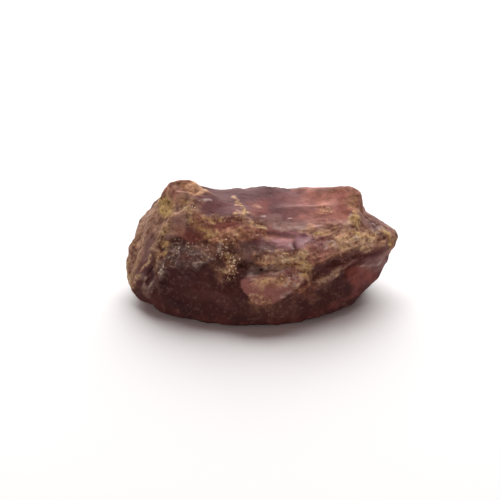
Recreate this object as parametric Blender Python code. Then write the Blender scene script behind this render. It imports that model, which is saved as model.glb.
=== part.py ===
"""A rough garnet crystal: one broken, stained stone that lies on its broad side.

Run with blender --background --python part.py, or from Blender's text editor. Metres, +Z up; the ridge lines
and reliefs below are in millimetres. The origin is at the middle of the stone's box, on the plane it rests on.

Named ridge lines are joined by triangles into a cage, the cage is covered with a dense skin of points, the skin
is softened and carved with chips, bands and hollows, and the result is thinned and cut flat underneath.
"""

import itertools

import bmesh
import bpy
import numpy as np

# Driving dimensions
LENGTH_MM = 24.0        # the stone's length along X
FACES = 9000            # triangles left after thinning
MM = 0.001

# A ball point's place is this core times its direction, plus a distance along it: rays leave a line inside the
# long stone, not one point. The core and the centre are in millimetres.
CENTRE = np.array((0.0, 0.4, 4.4))
CORE = np.array((6.5, 0.5, 0.0))
FARTHEST = 12.0
CELLS = 128
SOFTENING_ROUNDS = 4

# Ridge lines: where the stone's faces meet, from its knob at the left to its lobe at the right.
RIDGES = {
    "knob": [(-8.4, 2.2, 9.3), (-8.0, 2.4, 10.0), (-7.2, 2.6, 10.2), (-6.2, 2.8, 10.2), (-5.1, 3.2, 8.9),
             (-7.4, 1.2, 9.8), (-6.3, 1.4, 9.7), (-7.0, 0.6, 9.0)],
    "knob_back": [(-8.2, 3.6, 8.7), (-7.2, 4.2, 9.0), (-5.9, 4.2, 8.3)],
    "back_edge": [(-3.9, 3.4, 8.5), (-2.5, 3.5, 8.5), (-0.9, 3.6, 8.8), (1.0, 3.7, 8.9), (2.6, 3.8, 8.5),
                  (4.2, 3.7, 8.5)],
    "shoulder": [(5.7, 3.4, 9.0), (7.1, 3.1, 9.4), (8.1, 2.7, 9.4), (8.8, 2.4, 9.0), (9.1, 2.1, 8.3),
                 (9.1, 1.6, 7.4)],
    "shoulder_back": [(6.6, 4.5, 8.3), (8.2, 4.1, 8.4), (9.3, 3.1, 6.5)],
    "lobe_top": [(10.2, 2.2, 6.5), (11.2, 2.0, 5.9), (11.9, 1.6, 5.4), (12.0, 1.2, 5.2)],
    "table": [(-6.0, 1.5, 9.3), (-3.1, 1.4, 8.5), (0.8, 1.2, 8.2), (4.6, 1.8, 7.9), (7.3, 1.2, 8.6)],
    "table_front": [(-6.3, -0.1, 8.4), (-4.9, -0.4, 8.1), (-3.1, -0.6, 8.2), (-1.6, -0.6, 8.3), (-0.1, -1.1, 7.6),
                    (1.7, -1.3, 7.3), (3.4, -1.4, 7.3), (5.2, -1.2, 7.5), (7.2, -0.7, 7.5), (8.3, 0.2, 7.7)],
    "left_ridge": [(-7.7, -0.5, 8.1), (-8.4, -1.0, 7.1), (-8.8, -1.5, 6.2), (-9.1, -2.0, 5.1), (-9.5, -2.4, 3.7),
                   (-9.9, -2.7, 2.1), (-9.5, -2.9, 0.8)],
    "upper_front": [(-6.6, -0.8, 7.3), (-7.2, -1.7, 6.3), (-5.5, -2.0, 6.5), (-4.1, -3.1, 5.8), (-2.5, -2.5, 6.5),
                    (-0.9, -2.2, 6.9), (0.5, -2.2, 6.8), (2.1, -2.5, 6.7), (3.6, -2.3, 7.0), (5.3, -2.1, 6.8),
                    (7.1, -1.6, 6.6), (8.5, -0.6, 6.9), (10.1, 0.0, 6.2), (11.7, 0.5, 4.8)],
    "ledge": [(-8.5, -2.7, 4.8), (-6.1, -3.5, 5.2), (-4.1, -4.0, 5.1), (-2.5, -4.1, 5.0), (-1.3, -3.6, 5.5),
              (0.4, -3.7, 5.8), (2.1, -3.8, 5.9), (3.8, -3.4, 5.9), (5.6, -2.8, 6.1), (7.2, -2.2, 6.2),
              (8.7, -1.5, 6.2), (10.1, -0.8, 5.7)],
    "under_ledge": [(4.5, -3.4, 4.6), (5.9, -2.6, 4.8), (7.6, -1.8, 5.0), (9.3, -1.2, 4.8), (11.1, 0.0, 3.9)],
    "plate": [(-1.5, -4.3, 4.5), (0.3, -4.2, 4.9), (2.4, -4.2, 5.2), (3.8, -4.0, 5.0), (3.7, -4.8, 4.0),
              (2.6, -5.5, 3.0), (1.0, -5.8, 2.7), (-0.8, -5.7, 3.1), (-1.6, -5.0, 3.7), (0.8, -5.2, 4.1)],
    "belly": [(-8.1, -3.5, 3.0), (-5.7, -4.6, 3.3), (-3.4, -5.2, 3.3), (-1.4, -5.8, 2.0), (1.2, -5.9, 1.8),
              (4.0, -5.0, 2.5), (5.3, -3.9, 3.4), (5.6, -4.2, 2.0), (6.9, -2.8, 4.1), (7.4, -3.1, 2.4),
              (8.3, -2.1, 3.5), (9.5, -1.3, 3.5)],
    "foot": [(-8.8, -3.5, 0.5), (-7.4, -4.4, 0.5), (-5.7, -5.1, 0.5), (-3.9, -5.6, 0.5), (-1.8, -5.9, 0.5),
             (0.5, -6.0, 0.6), (3.4, -5.6, 0.5), (5.2, -4.8, 0.5), (6.9, -3.8, 0.6), (8.2, -2.9, 0.8),
             (9.1, -2.1, 1.4), (10.0, -1.3, 1.9), (10.8, -0.5, 2.5), (11.3, 0.1, 3.1), (11.5, 0.5, 4.2)],
    "left_side": [(-8.7, 1.6, 8.6), (-9.2, 1.5, 7.8), (-9.8, 1.4, 7.1), (-10.4, 1.3, 6.3), (-11.0, 1.0, 5.3),
                  (-11.5, 0.7, 4.4), (-12.0, 0.2, 3.3), (-12.0, -0.3, 2.6), (-11.8, -1.1, 1.7), (-11.4, -1.8, 1.2),
                  (-10.4, -2.4, 0.9)],
    "left_face": [(-9.6, 0.0, 6.2), (-10.3, -0.8, 4.6), (-10.6, -1.5, 2.9)],
    "back_crest": [(-9.4, 3.2, 7.5), (-6.4, 5.2, 7.4), (-3.0, 5.0, 7.5), (0.4, 5.4, 7.6), (3.6, 5.0, 7.9),
                   (10.6, 3.4, 5.6)],
    "back_upper": [(-10.8, 2.9, 5.8), (-8.4, 4.8, 6.4), (-4.6, 5.9, 6.2), (-1.0, 6.0, 5.8), (2.6, 6.3, 5.6),
                   (6.2, 5.8, 6.4), (9.0, 4.8, 5.6)],
    "back_middle": [(-11.2, 2.6, 3.4), (-8.2, 5.3, 3.8), (-4.4, 6.2, 3.0), (0.4, 6.5, 3.4), (4.4, 6.4, 2.8),
                    (7.9, 5.5, 3.2), (10.6, 3.0, 3.4)],
    "back_foot": [(-11.0, 1.6, 1.0), (-8.8, 4.2, 1.0), (-4.8, 5.5, 0.6), (-0.4, 5.9, 0.5), (4.0, 5.7, 0.6),
                  (7.6, 4.2, 0.8), (9.8, 2.2, 1.2), (9.2, 0.2, 0.9)],
    "rest_rim": [(-8.2, -2.3, -0.6), (-5.3, -3.9, -0.6), (-1.6, -4.8, -0.6), (2.8, -4.4, -0.6), (6.0, -2.8, -0.6),
                 (7.8, 0.2, -0.6), (6.6, 3.0, -0.6), (2.6, 4.6, -0.6), (-2.6, 4.5, -0.6), (-7.2, 3.2, -0.6),
                 (-9.2, 0.6, -0.6), (0.0, 0.4, -0.6)],
}


# Carvings follow a line on the skin: half width, crisp edge's width, height (a cut is negative), the way its crisp
# edge faces, and the line. The other edge fades out over the whole half width.
DOWN = (0.0, -0.5, -0.85)
UP = (0.0, 0.5, 0.85)
CARVINGS = {
    "knob_crease": (0.60, 0.50, -0.20, (0.8, 0.0, -0.5), [(-5.2, 2.4, 9.4), (-6.1, 1.5, 9.3), (-6.7, 0.8, 8.9),
                                                          (-7.3, 0.0, 8.6)]),
    "left_stripe": (0.70, 0.25, 0.16, (-0.9, -0.2, 0.0), [(-7.7, -0.2, 8.4), (-8.4, -0.7, 7.1), (-8.7, -1.3, 6.0),
                                                          (-8.8, -1.8, 5.0)]),
    "left_band": (0.70, 0.20, 0.16, (-0.9, -0.3, -0.3), [(-8.8, 0.9, 8.0), (-9.5, 0.5, 6.7), (-10.0, 0.0, 5.4),
                                                         (-10.4, -0.9, 4.0), (-10.9, -1.4, 2.6)]),
    "left_crevice": (0.60, 0.25, -0.34, (0.9, -0.3, -0.3), [(-11.0, -1.8, 1.5), (-10.4, -1.9, 2.8),
                                                            (-9.8, -1.9, 4.0), (-9.5, -1.7, 5.0)]),
    "grey_edge": (0.80, 0.25, 0.22, (0.9, -0.3, -0.4), [(-7.9, -2.0, 5.3), (-8.5, -2.3, 4.1), (-9.2, -2.6, 2.9),
                                                        (-9.8, -2.8, 2.0)]),
    "lip": (0.90, 0.50, 0.14, DOWN, [(-6.4, 0.3, 8.5), (-5.5, -0.4, 7.8), (-4.7, -1.3, 7.3), (-3.6, -1.9, 6.9),
                                     (-2.4, -1.9, 6.9)]),
    "ledge_crest": (0.95, 0.30, 0.26, DOWN, [(-2.8, -1.9, 6.9), (-3.7, -2.4, 6.3), (-4.4, -2.9, 5.9),
                                             (-5.4, -3.2, 5.6), (-6.6, -3.2, 5.3)]),
    "glint_ridge": (0.60, 0.40, 0.18, (1.0, 0.0, 0.0), [(-3.1, -2.5, 6.5), (-2.8, -3.0, 5.8), (-2.6, -3.5, 5.3),
                                                        (-2.8, -4.0, 4.8), (-2.9, -4.4, 4.2)]),
    "pit": (0.75, 0.35, -0.60, UP, [(-1.5, -3.7, 5.2), (-1.0, -3.9, 5.0), (-0.3, -4.1, 4.9)]),
    "groove": (0.40, 0.20, -0.34, UP, [(0.1, -4.1, 5.0), (1.0, -3.9, 5.2), (2.2, -3.9, 5.4), (3.4, -3.7, 5.3)]),
    "plate": (1.50, 0.22, 0.36, (0.5, -0.4, -0.75), [(-0.7, -5.2, 3.8), (0.5, -5.2, 3.9), (1.8, -4.9, 4.1),
                                                     (2.9, -4.6, 4.4)]),
    "band": (0.95, 0.35, 0.24, DOWN, [(0.1, -3.4, 6.1), (1.7, -3.3, 6.3), (3.4, -3.0, 6.4), (5.3, -2.5, 6.5),
                                      (7.2, -1.9, 6.7), (8.9, -0.9, 6.6)]),
    "recess": (0.90, 0.50, -0.28, UP, [(5.2, -3.0, 4.9), (6.1, -2.6, 5.1), (7.0, -2.3, 5.3), (8.0, -1.8, 5.4),
                                       (9.1, -1.3, 5.3)]),
    "lower_recess": (0.45, 0.25, -0.18, UP, [(4.6, -3.8, 3.9), (5.3, -3.2, 4.1), (6.2, -2.8, 4.4),
                                             (7.4, -2.1, 4.7)]),
    "beige_strip": (0.70, 0.30, 0.20, DOWN, [(4.9, -3.9, 3.5), (5.8, -3.2, 4.0), (6.6, -2.7, 4.4),
                                             (7.4, -2.2, 4.7)]),
    "shoulder_rib": (0.60, 0.35, 0.16, (1.0, 0.0, -0.2), [(8.6, 2.1, 8.8), (8.5, 1.5, 8.2), (8.3, 0.5, 7.7),
                                                          (8.0, -0.4, 7.2)]),
}
# Worn smooth: the table on top. Zones: how far they reach, and the line along their middle.
SMOOTH_TABLE = (2.6, [(-5.3, 1.1, 9.1), (-3.1, 1.3, 8.5), (0.1, 1.2, 8.3), (3.5, 1.9, 7.8), (7.0, 1.7, 8.1)])
# Parting: thin layers that break off in steps. Reach, step, height, the way across the layers, and the line.
LAYERS = {
    "left": (3.0, 1.00, 0.12, (1.0, 0.35, -0.25), [(-9.4, 1.2, 7.8), (-10.4, 0.0, 5.0), (-10.8, -1.0, 2.6)]),
    "right": (3.0, 0.75, 0.12, (-0.30, 0.2, 1.0), [(6.8, -2.4, 4.4), (9.0, -1.0, 4.8), (11.0, 0.8, 4.8)]),
    "back": (6.5, 2.10, 0.16, (0.30, 0.1, 1.0), [(-7.0, 5.4, 5.0), (7.0, 5.4, 5.0)]),
}


def ball(cells):
    """A unit ball's points and its faces of four: a cube's six sides in square cells, evened out by the tangent
    and drawn in to the ball, with the points along the cube's edges joined."""
    across = np.tan(np.linspace(-np.pi / 4, np.pi / 4, cells + 1))
    one, two = np.meshgrid(across, across, indexing="ij")
    number = np.arange((cells + 1) ** 2).reshape(cells + 1, cells + 1)
    cell = np.stack((number[:-1, :-1], number[1:, :-1], number[1:, 1:], number[:-1, 1:]), axis=-1).reshape(-1, 4)
    points, quads = [], []
    for axis, side in itertools.product(range(3), (1, -1)):
        square = np.stack((np.full(one.size, float(side)), one.ravel(), two.ravel()), axis=1)
        points.append(np.roll(square, axis, axis=1))
        quads.append((cell if side == 1 else cell[:, ::-1]) + len(quads) * number.size)
    points = np.concatenate(points)
    points /= np.linalg.norm(points, axis=1, keepdims=True)
    joined, place = np.unique(np.round(points, 7), axis=0, return_inverse=True)
    return joined, place.reshape(-1)[np.concatenate(quads)]


def ball_directions(points):
    """Each point's place on the unit ball. It lies on one of the nested ellipsoids with half sides CORE + r, and
    halving finds the r at which the sum of its squared shares of them is one."""
    low = np.full(len(points), 0.01)
    high = np.full(len(points), FARTHEST)
    for _ in range(40):
        middle = (low + high) / 2
        outside = ((points / (CORE + middle[:, None])) ** 2).sum(axis=1) > 1.0
        low = np.where(outside, middle, low)
        high = np.where(outside, high, middle)
    return points / (CORE + high[:, None])


def cage():
    """The ridge points, and the triangles that join them: those of the hull of their places on the unit ball."""
    points = np.array([p for line in RIDGES.values() for p in line]) - CENTRE
    directions = ball_directions(points)
    hull = bmesh.new()
    for direction in directions:
        hull.verts.new(direction)
    bmesh.ops.convex_hull(hull, input=hull.verts[:])
    hull.verts.index_update()
    triangles = np.array([[v.index for v in face.verts] for face in hull.faces])
    hull.free()
    return points, directions, triangles


def on_cage(rays, points, directions, triangles):
    """Where each ball point lands on the cage. It goes through one triangle of ridge directions, as that one in
    which it has no negative share, and its shares of the three corners place it on the flat triangle."""
    shares_of = np.linalg.inv(directions[triangles].transpose(0, 2, 1))
    landed = np.empty_like(rays)
    for start in range(0, len(rays), 8192):
        part = slice(start, start + 8192)
        shares = np.einsum("tij,nj->nti", shares_of, rays[part])
        crossed = shares.min(axis=2).argmax(axis=1)
        weights = shares[np.arange(len(crossed)), crossed]
        weights /= weights.sum(axis=1, keepdims=True)
        landed[part] = np.einsum("ni,nij->nj", weights, points[triangles[crossed]])
    return landed


def softened(places, quads, rounds):
    """Each point moved half way to the mean of its neighbours, a few times: knife edges turn to worn ones."""
    here = quads.ravel()
    beside = np.roll(quads, -1, axis=1).ravel()
    count = np.bincount(here, minlength=len(places))[:, None]
    for _ in range(rounds):
        total = np.stack([np.bincount(here, places[beside, axis]) for axis in range(3)], axis=1)
        places = (places + total / count) / 2
    return places


def outward(places, quads):
    """Unit normals of the skin: the cross products of its faces' diagonals, summed at their corners."""
    corners = places[quads]
    crosses = np.cross(corners[:, 2] - corners[:, 0], corners[:, 3] - corners[:, 1])
    spread = np.repeat(crosses, 4, axis=0)
    normals = np.stack([np.bincount(quads.ravel(), spread[:, axis]) for axis in range(3)], axis=1)
    return normals / np.linalg.norm(normals, axis=1, keepdims=True)


def hashed(cells, seed):
    """A fixed number from 0 to 1 for each whole-numbered cell: its numbers and the seed, multiplied and mixed."""
    whole = cells.astype(np.int64).astype(np.uint32)
    mixed = whole[..., 0] * np.uint32(0x8DA6B343) ^ whole[..., 1] * np.uint32(0xD8163841)
    mixed ^= whole[..., 2] * np.uint32(0xCB1AB31F) ^ np.uint32(seed * 0x9E3779B1 % 2 ** 32)
    for shift, factor in ((15, 0x2C1B3C6D), (12, 0x297A2D39)):
        mixed = (mixed ^ mixed >> np.uint32(shift)) * np.uint32(factor)
    return (mixed ^ mixed >> np.uint32(15)) / 2.0 ** 32


def noise(points, size, seed):
    """Smooth noise from -1 to 1: hashed numbers at the corners of cubes of this size, faded between them."""
    scaled = points / size
    corner = np.floor(scaled)
    part = scaled - corner
    fade = part * part * part * (part * (part * 6 - 15) + 10)
    total = np.zeros(len(points))
    for step in itertools.product((0, 1), repeat=3):
        share = np.where(step, fade, 1 - fade).prod(axis=1)
        total += share * hashed(corner + step, seed)
    return total * 2 - 1


def chips(points, size, tilt, hollow, seed):
    """Broken chips, in mm: each cell of about this size holds one shallow bowl, tilted its own way, and the
    lowest of the bowls around a point counts, so that they meet along crisp edges."""
    scaled = points / size
    base = np.floor(scaled)
    lowest = np.full(len(points), np.inf)
    for step in itertools.product((-1, 0, 1), repeat=3):
        cell = base + step
        middle = cell + np.stack([hashed(cell, seed + axis) for axis in range(3)], axis=1)
        slope = np.stack([hashed(cell, seed + axis) - 0.5 for axis in (3, 4, 5)], axis=1)
        offset = scaled - middle
        height = 2 * tilt * (offset * slope).sum(axis=1) + hollow * (offset ** 2).sum(axis=1)
        lowest = np.minimum(lowest, height)
    return lowest * size


def facets(points, size, tilt, step, crisp, seed):
    """Flat broken faces, in mm: each cell of about this size has a plane lifted and tilted its own way, and the
    planes around a point are mixed by weights that fall off with the square of its distance from their cells."""
    scaled = points / size
    base = np.floor(scaled)
    heights = np.zeros(len(points))
    weights = np.zeros(len(points))
    for around in itertools.product((-1, 0, 1), repeat=3):
        cell = base + around
        middle = cell + np.stack([hashed(cell, seed + axis) for axis in range(3)], axis=1)
        slope = np.stack([hashed(cell, seed + axis) - 0.5 for axis in (3, 4, 5)], axis=1)
        offset = scaled - middle
        weight = np.exp(-crisp * (offset ** 2).sum(axis=1))
        heights += weight * (2 * tilt * (offset * slope).sum(axis=1) + step * (hashed(cell, seed + 6) - 0.5))
        weights += weight
    return heights / weights * size


def off_line(points, line):
    """How far each point is from a line of several stretches, as vectors from its nearest foot."""
    line = np.array(line)
    nearest = np.full(len(points), np.inf)
    offsets = np.zeros_like(points)
    for start, end in zip(line[:-1], line[1:]):
        stretch = end - start
        along = np.clip((points - start) @ stretch / (stretch @ stretch), 0, 1)
        offset = points - start - along[:, None] * stretch
        far = np.linalg.norm(offset, axis=1)
        offsets = np.where((far < nearest)[:, None], offset, offsets)
        nearest = np.minimum(nearest, far)
    return nearest, offsets


def faded(value):
    """From 0 to 1 along a smooth step."""
    part = np.clip(value, 0, 1)
    return part * part * (3 - 2 * part)


def carving(points, half_width, edge, facing, line, wander):
    """From 1 on the line to 0 past its edges: the edge is crisp where it faces the given way, and fades out over
    the half width on the other side."""
    far, offsets = off_line(points, line)
    turned = offsets @ np.array(facing) / np.linalg.norm(facing) / np.maximum(far, 1e-6)
    width = half_width + (edge - half_width) * faded(0.5 + turned)
    return faded((half_width - far + wander) / width)


def relief(points):
    """How far the carved stone stands out from its soft skin at each point, in mm."""
    bend = np.stack([noise(points, 2.6, 40 + axis) for axis in range(3)], axis=1)
    bend += np.stack([noise(points, 0.9, 50 + axis) for axis in range(3)], axis=1) * 0.4
    reach, line = SMOOTH_TABLE
    rough = 1 - 0.75 * faded((reach - off_line(points, line)[0]) / 1.2 + 0.3 * bend[:, 0])
    bent = points + 0.30 * bend
    total = rough * (facets(bent, 3.4, 0.10, 0.05, 14, 1) + chips(bent, 2.7, 0.09, 0.11, 11) - 0.03)
    total += rough * (chips(bent, 1.25, 0.08, 0.11, 21) - 0.02)
    for reach, step, height, across, line in LAYERS.values():
        layer = ((bent @ np.array(across)) / step / np.linalg.norm(across)) % 1.0
        zone = faded((reach - off_line(points, line)[0]) / (0.5 * reach)) * faded(0.5 + bend[:, 1])
        total += zone * height * (np.minimum(layer / 0.7, (1 - layer) / 0.3) - 0.5)
    wander = 0.20 * noise(points, 0.9, 60) + 0.10 * noise(points, 0.4, 61)
    for half_width, edge, height, facing, line in CARVINGS.values():
        total += height * carving(points, half_width, edge, facing, line, wander)
    return total


def stone_skin():
    """The carved stone's points in mm and its faces of four, brought to its length and centred. The plane of its
    rest face stays at zero height, and its rounded underside reaches a little below."""
    rays, quads = ball(CELLS)
    places = softened(on_cage(rays, *cage()), quads, SOFTENING_ROUNDS) + CENTRE
    places += outward(places, quads) * relief(places)[:, None]
    low, high = places.min(axis=0), places.max(axis=0)
    middle = (low + high) / 2
    places -= (middle[0], middle[1], 0.0)
    return places * LENGTH_MM / (high[0] - low[0]), quads


def garnet_material():
    """Dark red-brown stone with a dull gloss."""
    material = bpy.data.materials.new("stained_garnet")
    material.use_nodes = True
    shader = material.node_tree.nodes["Principled BSDF"]
    shader.inputs["Base Color"].default_value = (0.14, 0.05, 0.045, 1.0)
    shader.inputs["Roughness"].default_value = 0.45
    shader.inputs["Metallic"].default_value = 0.0
    return material


def thin(stone, faces):
    """Leaves about this many triangles, most of them where the stone bends most."""
    decimate = stone.modifiers.new("thin", "DECIMATE")
    decimate.ratio = faces / (2 * len(stone.data.polygons))


def cut_rest_face(stone):
    """Takes off what is below zero height, by a hidden block, so that the stone rests on one flat face."""
    bpy.ops.mesh.primitive_cube_add(size=1.0)
    block = bpy.context.object
    block.name = "rest_cutter"
    block.scale = (2 * LENGTH_MM * MM, 2 * LENGTH_MM * MM, LENGTH_MM * MM)
    block.location.z = -LENGTH_MM * MM / 2
    block.hide_render = True
    block.display_type = "WIRE"
    cut = stone.modifiers.new("rest_face", "BOOLEAN")
    cut.operation = "DIFFERENCE"
    cut.solver = "EXACT"
    cut.object = block


def main():
    for old in list(bpy.data.objects):
        bpy.data.objects.remove(old)
    places, quads = stone_skin()
    mesh = bpy.data.meshes.new("garnet_crystal")
    mesh.from_pydata(places * MM, [], quads)
    mesh.materials.append(garnet_material())
    stone = bpy.data.objects.new("garnet_crystal", mesh)
    bpy.context.scene.collection.objects.link(stone)
    thin(stone, FACES)
    cut_rest_face(stone)


if __name__ == "__main__":
    main()
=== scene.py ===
"""A rough garnet crystal and the stage that shows it: one broken, stained stone, lying on its broad side.

Run as a script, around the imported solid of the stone. It is laid out as an add-on: one operator makes the
stone's fine surface and its finish, and one makes the stage. Lengths inside the shape functions are in
millimetres, and the meshes are in metres.
"""

import itertools
import math

import bmesh
import bpy
import numpy as np
from bpy.props import FloatProperty, FloatVectorProperty, PointerProperty
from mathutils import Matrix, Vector


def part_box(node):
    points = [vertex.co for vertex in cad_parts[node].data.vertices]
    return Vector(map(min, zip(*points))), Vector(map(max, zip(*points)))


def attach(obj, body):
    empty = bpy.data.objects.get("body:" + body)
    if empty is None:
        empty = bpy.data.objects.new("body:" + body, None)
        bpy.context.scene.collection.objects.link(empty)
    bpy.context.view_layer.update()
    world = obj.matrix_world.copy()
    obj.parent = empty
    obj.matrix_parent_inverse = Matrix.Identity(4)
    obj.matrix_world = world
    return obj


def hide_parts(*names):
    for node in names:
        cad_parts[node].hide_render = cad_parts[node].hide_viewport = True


bl_info = {
    "name": "Stained Garnet",
    "version": (1, 0, 0),
    "blender": (4, 5, 0),
    "location": "View3D > Sidebar > Garnet",
    "description": "Makes a rough, stained garnet crystal on its packed solid, and a plain stage for it",
    "category": "Add Mesh",
}

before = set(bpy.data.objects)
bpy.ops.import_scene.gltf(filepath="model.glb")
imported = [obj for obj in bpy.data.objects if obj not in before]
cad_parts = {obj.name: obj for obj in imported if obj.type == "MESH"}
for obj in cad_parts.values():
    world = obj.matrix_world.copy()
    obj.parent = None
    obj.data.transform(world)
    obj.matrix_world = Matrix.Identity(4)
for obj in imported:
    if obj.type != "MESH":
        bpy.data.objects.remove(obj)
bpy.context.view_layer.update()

NODE = "garnet_crystal"
SLOT = "stained_garnet"
STONE_BOX = [np.array(corner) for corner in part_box(NODE)]
MM = 0.001

# A ball point's place is this core times its direction, plus a distance along it: rays leave a line inside
# the long stone, not one point. Halving finds that distance between the nearest and the farthest. Lengths
# are in millimetres.
CENTRE = np.array((0.0, 0.4, 4.4))
CORE = np.array((6.5, 0.5, 0.0))
NEAREST = 0.01
FARTHEST = 12.0
HALVINGS = 40
# Each of the ball's six sides has this many cells along its edge, and its points are looked up in such
# batches. Points that are the same to this many digits are one point.
CELLS = 128
BATCH = 8192
JOINED_DIGITS = 7
# How many times the skin is softened, and how many times more where the table on top is worn.
SOFTENING_ROUNDS = 4
WEAR_ROUNDS = 45

# The camera's frame is this many units wide and high, and the stone is drawn in it at about this many to a
# mm. The skin within this reach of a spot in the frame, in units, counts as lying under the spot.
FRAME_SIDE = 500
FRAME_PER_MM = 11.37
FRAME_REACH = 1.5
# The width of the camera's sensor and the height of the floor, in millimetres.
SENSOR = 36.0
FLOOR_DEPTH = -0.01

# A cell's three numbers and its seed are multiplied by these odd numbers, then mixed by shifts and factors.
CELL_FACTORS = (0x8DA6B343, 0xD8163841, 0xCB1AB31F)
SEED_FACTOR = 0x9E3779B1
MIXES = ((15, 0x2C1B3C6D), (12, 0x297A2D39))
LAST_SHIFT = 15

# Noise bends the faces, chips and layers by about this much, in millimetres.
BEND = 0.30

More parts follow.
